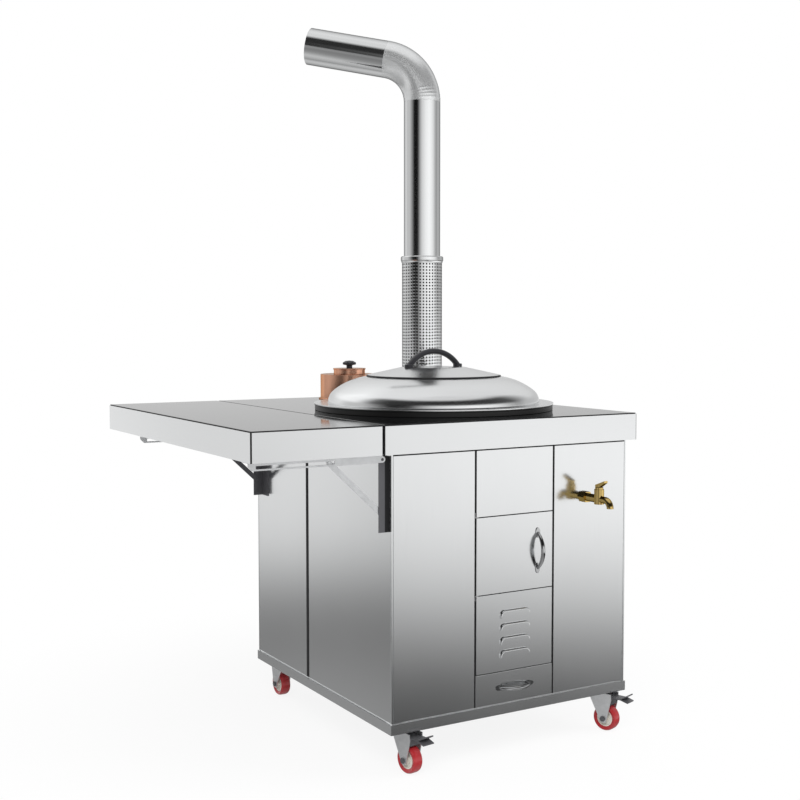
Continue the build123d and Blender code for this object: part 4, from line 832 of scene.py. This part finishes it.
class STOVE_OT_flue(StoveOperator, bpy.types.Operator):
    """Model the flue pipe, its crimped elbow and the outlet"""

    bl_idname = "stove.flue"
    bl_label = "Flue"

    def execute(self, context):
        size = sizes()
        low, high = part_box("flue_pipe")
        centre = middle_of("flue_pipe")
        radius = radius_of("flue_pipe")
        wall = size.pipe_wall
        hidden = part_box("guard_collar")[0].z
        pipe = tube("flue_tube", centre, low.z, high.z, radius, wall, [hidden])
        shade(pipe)
        fit_out(pipe, "stove", pipe_steel(), ["flue_pipe"])
        second_material(pipe, sooty_iron(), lambda c, n: c.z < hidden)

        heading = Vector((-sin(size.outlet_heading), cos(size.outlet_heading), 0))
        start = Vector((centre.x, centre.y, high.z))
        pivot = start + heading * size.bend_radius
        axis = Vector((0, 0, 1)).cross(heading)
        turn = pi / 2 - size.outlet_rise
        stages = 90
        scales = []
        for index in range(stages + 1):
            reach = turn * size.bend_radius * index / stages
            crimp = 0.0
            for ring in range(size.crimp_count):
                away = (reach - size.crimp_pitch * (ring + 1)) / (size.crimp_pitch * 0.3)
                crimp = max(crimp, 1.0 - away * away)
            scales.append(1.0 + crimp * size.crimp_rise / radius)
        elbow = swung("flue_bend", start, radius, pivot, axis, turn, scales)
        apply_modifier(elbow, "SOLIDIFY", thickness=wall, offset=-1.0)
        shade(elbow)
        fit_out(elbow, "stove", elbow_steel(), ["flue_elbow"])

        way = heading * cos(size.outlet_rise) + Vector((0, 0, sin(size.outlet_rise)))
        end = pivot + Matrix.Rotation(turn, 3, axis) @ (start - pivot)
        outlet = tube("flue_outlet", (0, 0), 0.0, size.outlet_length, radius, wall)
        place(outlet, along(end, way))
        shade(outlet)
        fit_out(outlet, "stove", pipe_steel(), ["outlet_pipe"])
        return {"FINISHED"}


class STOVE_OT_guard(StoveOperator, bpy.types.Operator):
    """Model the perforated guard round the flue and its collar"""

    bl_idname = "stove.guard"
    bl_label = "Flue guard"

    def execute(self, context):
        size = sizes()
        low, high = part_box("flue_guard")
        centre = middle_of("flue_guard")
        radius = radius_of("flue_guard")
        wall = size.pipe_wall
        wide = 2 * pi * radius / size.hole_columns
        tall = (high.z - low.z - size.plain_band) / size.hole_rows
        rest()
        bpy.ops.mesh.primitive_circle_add(vertices=8, radius=size.hole_diameter / 2)
        cell = named("guard_sleeve")
        edit_all(cell)
        bpy.ops.transform.rotate(value=pi / 8, orient_axis="Z", center_override=(0, 0, 0))
        bpy.ops.mesh.extrude_edges_move(TRANSFORM_OT_translate={"value": (0, 0, 0)})
        bpy.ops.transform.resize(value=(3, 3, 1), center_override=(0, 0, 0))
        rest()
        for vertex in cell.data.vertices:
            if vertex.co.xy.length > size.hole_diameter:
                vertex.co.x = max(-wide / 2, min(wide / 2, vertex.co.x * 2))
                vertex.co.y = max(-tall / 2, min(tall / 2, vertex.co.y * 2))
        apply_modifier(
            cell, "ARRAY", count=size.hole_columns, use_relative_offset=False, use_constant_offset=True,
            constant_offset_displace=(wide, 0, 0), use_merge_vertices=True, merge_threshold=0.00001,
        )
        apply_modifier(
            cell, "ARRAY", count=size.hole_rows, use_relative_offset=False, use_constant_offset=True,
            constant_offset_displace=(0, tall, 0), use_merge_vertices=True, merge_threshold=0.00001,
        )
        for vertex in cell.data.vertices:
            around = vertex.co.x / radius
            height = low.z + size.plain_band + tall / 2 + vertex.co.y
            if vertex.co.y < -tall * 0.49:
                height = low.z
            vertex.co = (centre.x + radius * sin(around), centre.y - radius * cos(around), height)
        tidy_mesh(cell)
        apply_modifier(cell, "SOLIDIFY", thickness=wall, offset=-1.0)
        shade(cell)
        fit_out(cell, "stove", pipe_steel(), ["flue_guard"])
        # Painted shade: the holes' walls and the inside of the guard are black
        second_material(cell, joint_and_shade_black(), lambda c, n: n.xy.dot((c - centre).xy.normalized()) < 0.5)
        low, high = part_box("guard_collar")
        outer = radius_of("guard_collar")
        inner = radius_of("flue_pipe")
        lip = size.collar_lip
        collar = turned("guard_cap", centre, [
            (inner, low.z), (outer - lip * 0.5, low.z), (outer - lip * 0.4, low.z + lip),
            (outer, low.z + lip * 1.4), (outer, high.z - lip * 0.6), (outer - lip * 0.5, high.z),
            (inner, high.z), (inner, low.z),
        ], 128)
        round_edges(collar, size.sheet_edge, 3, radians(20))
        shade(collar)
        fit_out(collar, "stove", pipe_steel(), ["guard_collar"])
        return {"FINISHED"}


class STOVE_OT_tap(StoveOperator, bpy.types.Operator):
    """Finish the brass tap and its lever"""

    bl_idname = "stove.tap"
    bl_label = "Tap"

    def execute(self, context):
        refit(
            sizes().sheet_edge, 3,
            ("tap_body", "tap_casting", "stove", cast_brass(), "brass"),
            ("tap_lever", "tap_blade", "tap_lever", cast_brass(), "brass"),
        )
        return {"FINISHED"}


class STOVE_OT_handles(StoveOperator, bpy.types.Operator):
    """Finish the bow handles of the door and the drawer"""

    bl_idname = "stove.handles"
    bl_label = "Handles"

    def execute(self, context):
        refit(
            sizes().fine_edge, 2,
            ("door_handle", "door_bow", "fire_door", bright_chrome(), "chrome"),
            ("drawer_handle", "drawer_bow", "ash_drawer", bright_chrome(), "chrome"),
        )
        return {"FINISHED"}


class STOVE_OT_brackets(StoveOperator, bpy.types.Operator):
    """Finish the leaf's folding brackets"""

    bl_idname = "stove.brackets"
    bl_label = "Leaf brackets"

    def execute(self, context):
        size = sizes()
        refit(size.fine_edge, 2, ("bracket_arms", "leaf_arms", "leaf", zinc_plate(), "zinc"))
        arms = refined("bracket_wall_arms", "wall_arms", size.fine_edge)
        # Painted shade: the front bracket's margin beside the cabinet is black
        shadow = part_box("bracket_wall_arms")[1].x - size.arm_shadow
        cut_at(arms, 0, shadow)
        shade(arms)
        fit_out(arms, "stove", dark_steel(), ["bracket_wall_arms"])
        second_material(arms, joint_and_shade_black(), lambda c, n: c.x > shadow and c.y < 0)
        refit(
            size.fine_edge, 2,
            ("front_strut", "front_stay", "front_strut", zinc_plate(), "zinc"),
            # Painted shade: the rear stay, a zinc strap like the front one, gets the dark steel
            ("rear_strut", "rear_stay", "rear_strut", dark_steel(), "zinc"),
        )
        return {"FINISHED"}


class STOVE_OT_casters(StoveOperator, bpy.types.Operator):
    """Finish the four casters and the two brake pedals"""

    bl_idname = "stove.casters"
    bl_label = "Casters"

    def execute(self, context):
        size = sizes()
        edge = size.fine_edge
        joints = {joint["name"]: joint for joint in frame["record"]["behaviour"]["joints"]}
        for wheel in WHEELS:
            axle = middle_of(wheel + "_tyre")
            across = Vector(joints[wheel + "_roll"]["axis"])
            side = across.cross(Vector((0, 0, 1)))
            fork = refined(wheel + "_fork", wheel + "_yoke", edge)
            fit_out(fork, wheel + "_fork", zinc_plate(), [wheel + "_fork"])
            second_material(fork, dark_steel(), lambda c, n: (
                abs((c - axle).dot(across)) > size.nut_depth
                and Vector(((c - axle).dot(side), c.z - axle.z)).length < size.nut_radius
            ))
            refit(0.0, 2, (wheel + "_tyre", wheel + "_tread", wheel + "_wheel", red_rubber(), "red_wheel"))
            refit(edge, 2, (wheel + "_hub", wheel + "_centre", wheel + "_wheel", moulded_hub(), "pale_hub"))
        for wheel in BRAKED_WHEELS:
            pedal = wheel + "_pedal"
            refit(edge, 2, (pedal, wheel + "_foot", pedal, dark_steel(), "dark_steel"))
        return {"FINISHED"}


# The studio
CAMERA_PLACE = (-1.47055, -2.7609, 1.0048)
CAMERA_YAW = radians(30.7)
CAMERA_PITCH = radians(3.49)
FOCAL_LENGTH = 55.03
FRAME_SHIFT = (-0.0131, -0.005)
TOWARDS_CAMERA = radians(120.7)
FLOOR_SIZE = 60
FLOOR_WHITE = 0.86
FLOOR_FADE = (0.3, 1.3)
PLAIN_LIGHT = 0.62

# Lamps: place, aim, size in metres and watts
KEY_LAMP = ((-2.4, -3.2, 3.6), (0, 0, 0.7), 2.6, 130)
FILL_LAMP = ((3.0, -2.4, 2.6), (0, 0, 0.6), 2.4, 60)

# Elevations between which each wall gives way to the next
EYE_BAND = (-2.5, 0.5)
HIGH_BAND = (11, 20)
CEILING_BAND = (46, 60)

# Brightness of the studio walls by degrees to the right of the camera, seen in the metal
LOW_WALL = (
    (-180, 1.0), (-136, 0.98), (-132, 0.88), (-129, 0.68), (-127, 0.68), (-125.5, 0.9), (-123, 0.84),
    (-118, 0.66), (-114, 0.5), (-100, 0.55), (-60, 0.72), (-40, 0.35), (-25, 0.25), (-5, 0.6), (10, 0.85),
    (48, 0.68), (54, 0.76), (61, 0.94), (72, 1.02), (110, 0.95), (180, 0.9),
)
EYE_WALL = (
    (-180, 0.75), (-150, 0.8), (-124, 0.9), (-108, 0.62), (-84, 0.57), (-64, 0.22), (-52, 0.01),
    (-36, 0.003), (-26, 0.03), (-10, 0.5), (0, 0.74), (23, 1.0), (45, 1.12), (62, 1.0), (75, 0.82),
    (90, 0.5), (103, 0.35), (118, 0.55), (135, 0.6), (150, 0.7), (180, 0.75),
)
HIGH_WALL = (
    (-180, 0.8), (-150, 1.0), (-130, 1.15), (-98, 1.0), (-74, 0.12), (-55, 0.03), (0, 0.02), (70, 0.04),
    (98, 0.08), (114, 0.35), (135, 0.8), (160, 0.85), (180, 0.8),
)
CEILING = ((-180, 0.85), (-90, 0.88), (0, 0.74), (60, 0.72), (100, 0.76), (180, 0.85))

# Brightness of the floor in the metal by elevation, first in front and then at the left
FLOOR_GLOW = (
    (-90, 0.7), (-50, 0.5), (-36, 0.3), (-28, 0.12), (-22, 0.04), (-18.2, 0.05), (-16.2, 0.1), (-14.8, 0.3),
    (-12.6, 0.72), (-10.6, 0.97), (-8.4, 1.07), (-6, 1.13), (-2, 1.0), (90, 1.0),
)
LEFT_GLOW = (
    (-90, 0.7), (-45, 0.6), (-25, 0.5), (-18, 0.42), (-16, 0.33), (-14.8, 0.25), (-13.8, 0.24), (-13, 0.32),
    (-12, 0.55), (-11, 0.82), (-9.5, 1.02), (-6, 1.06), (-2, 1.0), (90, 1.0),
)

# How much of that floor shows, and how much of it is the left one, by bearing
FLOOR_DEPTH = (
    (-180, 0.9), (-112, 1.0), (-80, 0.5), (-50, 0.25), (-5, 0.25), (25, 0.8), (45, 1.0), (90, 1.0),
    (180, 0.9),
)
LEFT_SHARE = ((-180, 1), (-100, 1), (-80, 0), (150, 0), (180, 1))


def ramp_of(tree, source, stops, position):
    """A colour ramp of (degrees, brightness) stops over a node's value."""
    ramp_node = add(tree, "ValToRGB")
    ramp = ramp_node.color_ramp
    while len(ramp.elements) < len(stops):
        ramp.elements.new(1.0)
    for element, (degrees, level) in zip(ramp.elements, stops):
        element.position = position(degrees)
        element.color = grey(level)
    tree.links.new(source, ramp_node.inputs["Fac"])
    return ramp_node.outputs["Color"]


def turn_position(degrees):
    """Where a bearing lies on a radial gradient."""
    return 0.5 + degrees / 360


def height_position(degrees):
    """Where an elevation lies on a ramp from straight down to straight up."""
    return 0.5 + 0.5 * sin(radians(degrees))


def mixed(tree, factor, first, second):
    """Mix two colours by a factor."""
    blend = add(tree, "Mix")
    blend.data_type = "RGBA"
    tree.links.new(factor, blend.inputs[0])
    tree.links.new(first, blend.inputs[6])
    tree.links.new(second, blend.inputs[7])
    return blend.outputs[2]


def studio_world(scene):
    """White to the camera, a plain even light on the object, and studio walls in the metal."""
    world = bpy.data.worlds.new("studio")
    scene.world = world
    world.use_nodes = True
    tree = world.node_tree
    tree.nodes.clear()
    where = add(tree, "TexCoord").outputs["Generated"]
    turner = add(tree, "Mapping", Rotation=(0, 0, TOWARDS_CAMERA))
    tree.links.new(where, turner.inputs["Vector"])
    bearing = add(tree, "TexGradient")
    bearing.gradient_type = "RADIAL"
    tree.links.new(turner.outputs["Vector"], bearing.inputs["Vector"])
    split = add(tree, "SeparateXYZ")
    tree.links.new(where, split.inputs["Vector"])
    height = add(tree, "MapRange", From_Min=-1.0)
    tree.links.new(split.outputs["Z"], height.inputs["Value"])
    level = height.outputs["Result"]

    def wall(stops):
        return ramp_of(tree, bearing.outputs["Fac"], stops, turn_position)

    def above(low, high):
        return ramp_of(tree, level, ((low, 0), (high, 1)), height_position)

    seen = mixed(tree, above(*EYE_BAND), wall(LOW_WALL), wall(EYE_WALL))
    seen = mixed(tree, above(*HIGH_BAND), seen, wall(HIGH_WALL))
    seen = mixed(tree, above(*CEILING_BAND), seen, wall(CEILING))
    shaded = add(tree, "Mix")
    shaded.data_type = "RGBA"
    shaded.blend_type = "MULTIPLY"
    tree.links.new(wall(FLOOR_DEPTH), shaded.inputs[0])
    tree.links.new(seen, shaded.inputs[6])
    front_glow = ramp_of(tree, level, FLOOR_GLOW, height_position)
    left_glow = ramp_of(tree, level, LEFT_GLOW, height_position)
    tree.links.new(mixed(tree, wall(LEFT_SHARE), front_glow, left_glow), shaded.inputs[7])

    path = add(tree, "LightPath")
    clear = add(tree, "Math")
    clear.operation = "MAXIMUM"
    tree.links.new(path.outputs["Is Camera Ray"], clear.inputs[0])
    tree.links.new(path.outputs["Is Transmission Ray"], clear.inputs[1])
    plain = add(tree, "RGB")
    plain.outputs[0].default_value = grey(PLAIN_LIGHT)
    white = add(tree, "RGB")
    white.outputs[0].default_value = grey(1)
    shown = mixed(tree, path.outputs["Is Glossy Ray"], plain.outputs[0], shaded.outputs[2])
    shown = mixed(tree, clear.outputs[0], shown, white.outputs[0])
    glow = add(tree, "Background")
    tree.links.new(shown, glow.inputs["Color"])
    out = add(tree, "OutputWorld")
    tree.links.new(glow.outputs["Background"], out.inputs["Surface"])


def floor_material():
    """Pale floor that fades into the white background away from the object."""
    made = bpy.data.materials.new("studio_floor")
    made.use_nodes = True
    tree = made.node_tree
    shader = tree.nodes["Principled BSDF"]
    shader.inputs["Base Color"].default_value = grey(0.93)
    shader.inputs["Roughness"].default_value = 0.9
    shader.inputs["Specular IOR Level"].default_value = 0.0
    where = add(tree, "TexCoord")
    reach = add(tree, "VectorMath")
    reach.operation = "LENGTH"
    tree.links.new(where.outputs["Object"], reach.inputs[0])
    fade = add(tree, "MapRange", From_Min=FLOOR_FADE[0], From_Max=FLOOR_FADE[1], To_Min=FLOOR_WHITE)
    fade.interpolation_type = "SMOOTHSTEP"
    tree.links.new(reach.outputs["Value"], fade.inputs["Value"])
    path = add(tree, "LightPath")
    amount = add(tree, "Math")
    amount.operation = "MULTIPLY"
    tree.links.new(fade.outputs["Result"], amount.inputs[0])
    tree.links.new(path.outputs["Is Camera Ray"], amount.inputs[1])
    white = add(tree, "Emission")
    blend = add(tree, "MixShader")
    tree.links.new(amount.outputs[0], blend.inputs[0])
    tree.links.new(shader.outputs["BSDF"], blend.inputs[1])
    tree.links.new(white.outputs["Emission"], blend.inputs[2])
    tree.links.new(blend.outputs["Shader"], tree.nodes["Material Output"].inputs["Surface"])
    return made


def soft_lamp(name, place_at, aim, size, watts):
    """A square lamp pointed at a place."""
    lamp = bpy.data.lights.new(name, "AREA")
    lamp.size = size
    lamp.energy = watts
    holder = bpy.data.objects.new(name, lamp)
    bpy.context.scene.collection.objects.link(holder)
    holder.location = place_at
    holder.rotation_euler = (Vector(aim) - Vector(place_at)).to_track_quat("-Z", "Y").to_euler()
    holder.visible_glossy = False
    return holder


class STOVE_OT_studio(StoveOperator, bpy.types.Operator):
    """Set up the pale floor, the soft light and the camera"""

    bl_idname = "stove.studio"
    bl_label = "Studio"

    def execute(self, context):
        scene = context.scene
        scene.view_settings.view_transform = "Standard"
        studio_world(scene)
        rest()
        bpy.ops.mesh.primitive_plane_add(size=FLOOR_SIZE)
        ground = named("ground")
        ground.data.materials.append(floor_material())
        ground.visible_glossy = False
        soft_lamp("key", *KEY_LAMP)
        soft_lamp("fill", *FILL_LAMP)
        lens = bpy.data.cameras.new("camera")
        lens.lens = FOCAL_LENGTH
        lens.sensor_width = 36
        lens.shift_x, lens.shift_y = FRAME_SHIFT
        lens.clip_end = FLOOR_SIZE
        camera = bpy.data.objects.new("camera", lens)
        scene.collection.objects.link(camera)
        camera.location = CAMERA_PLACE
        camera.rotation_euler = (pi / 2 - CAMERA_PITCH, 0, -CAMERA_YAW)
        scene.camera = camera
        rest()
        return {"FINISHED"}


STEPS = (
    STOVE_OT_studio, STOVE_OT_cabinet, STOVE_OT_louvers, STOVE_OT_worktop, STOVE_OT_firebox, STOVE_OT_wok,
    STOVE_OT_lid, STOVE_OT_tank, STOVE_OT_flue, STOVE_OT_guard, STOVE_OT_tap, STOVE_OT_handles,
    STOVE_OT_brackets, STOVE_OT_casters,
)


class STOVE_PT_panel(bpy.types.Panel):
    """The steps that dress the stove, and the sizes and colours that they use"""

    bl_idname = "STOVE_PT_panel"
    bl_label = "Wok stove"
    bl_space_type = "VIEW_3D"
    bl_region_type = "UI"
    bl_category = "Stove"

    def draw(self, context):
        for step in STEPS:
            self.layout.operator(step.bl_idname)
        for group in (context.scene.stove_sizes, context.scene.stove_colours):
            box = self.layout.box()
            for key in group.bl_rna.properties.keys():
                if key not in ("rna_type", "name"):
                    box.prop(group, key)


CLASSES = (StoveSizes, StoveColours, *STEPS, STOVE_PT_panel)


def register():
    for made in CLASSES:
        bpy.utils.register_class(made)
    bpy.types.Scene.stove_sizes = PointerProperty(type=StoveSizes)
    bpy.types.Scene.stove_colours = PointerProperty(type=StoveColours)


def unregister():
    del bpy.types.Scene.stove_colours
    del bpy.types.Scene.stove_sizes
    for made in reversed(CLASSES):
        bpy.utils.unregister_class(made)


def main():
    """Run every step in order."""
    register()
    for step in STEPS:
        group, name = step.bl_idname.split(".")
        getattr(getattr(bpy.ops, group), name)()


if __name__ == "__main__":
    main()
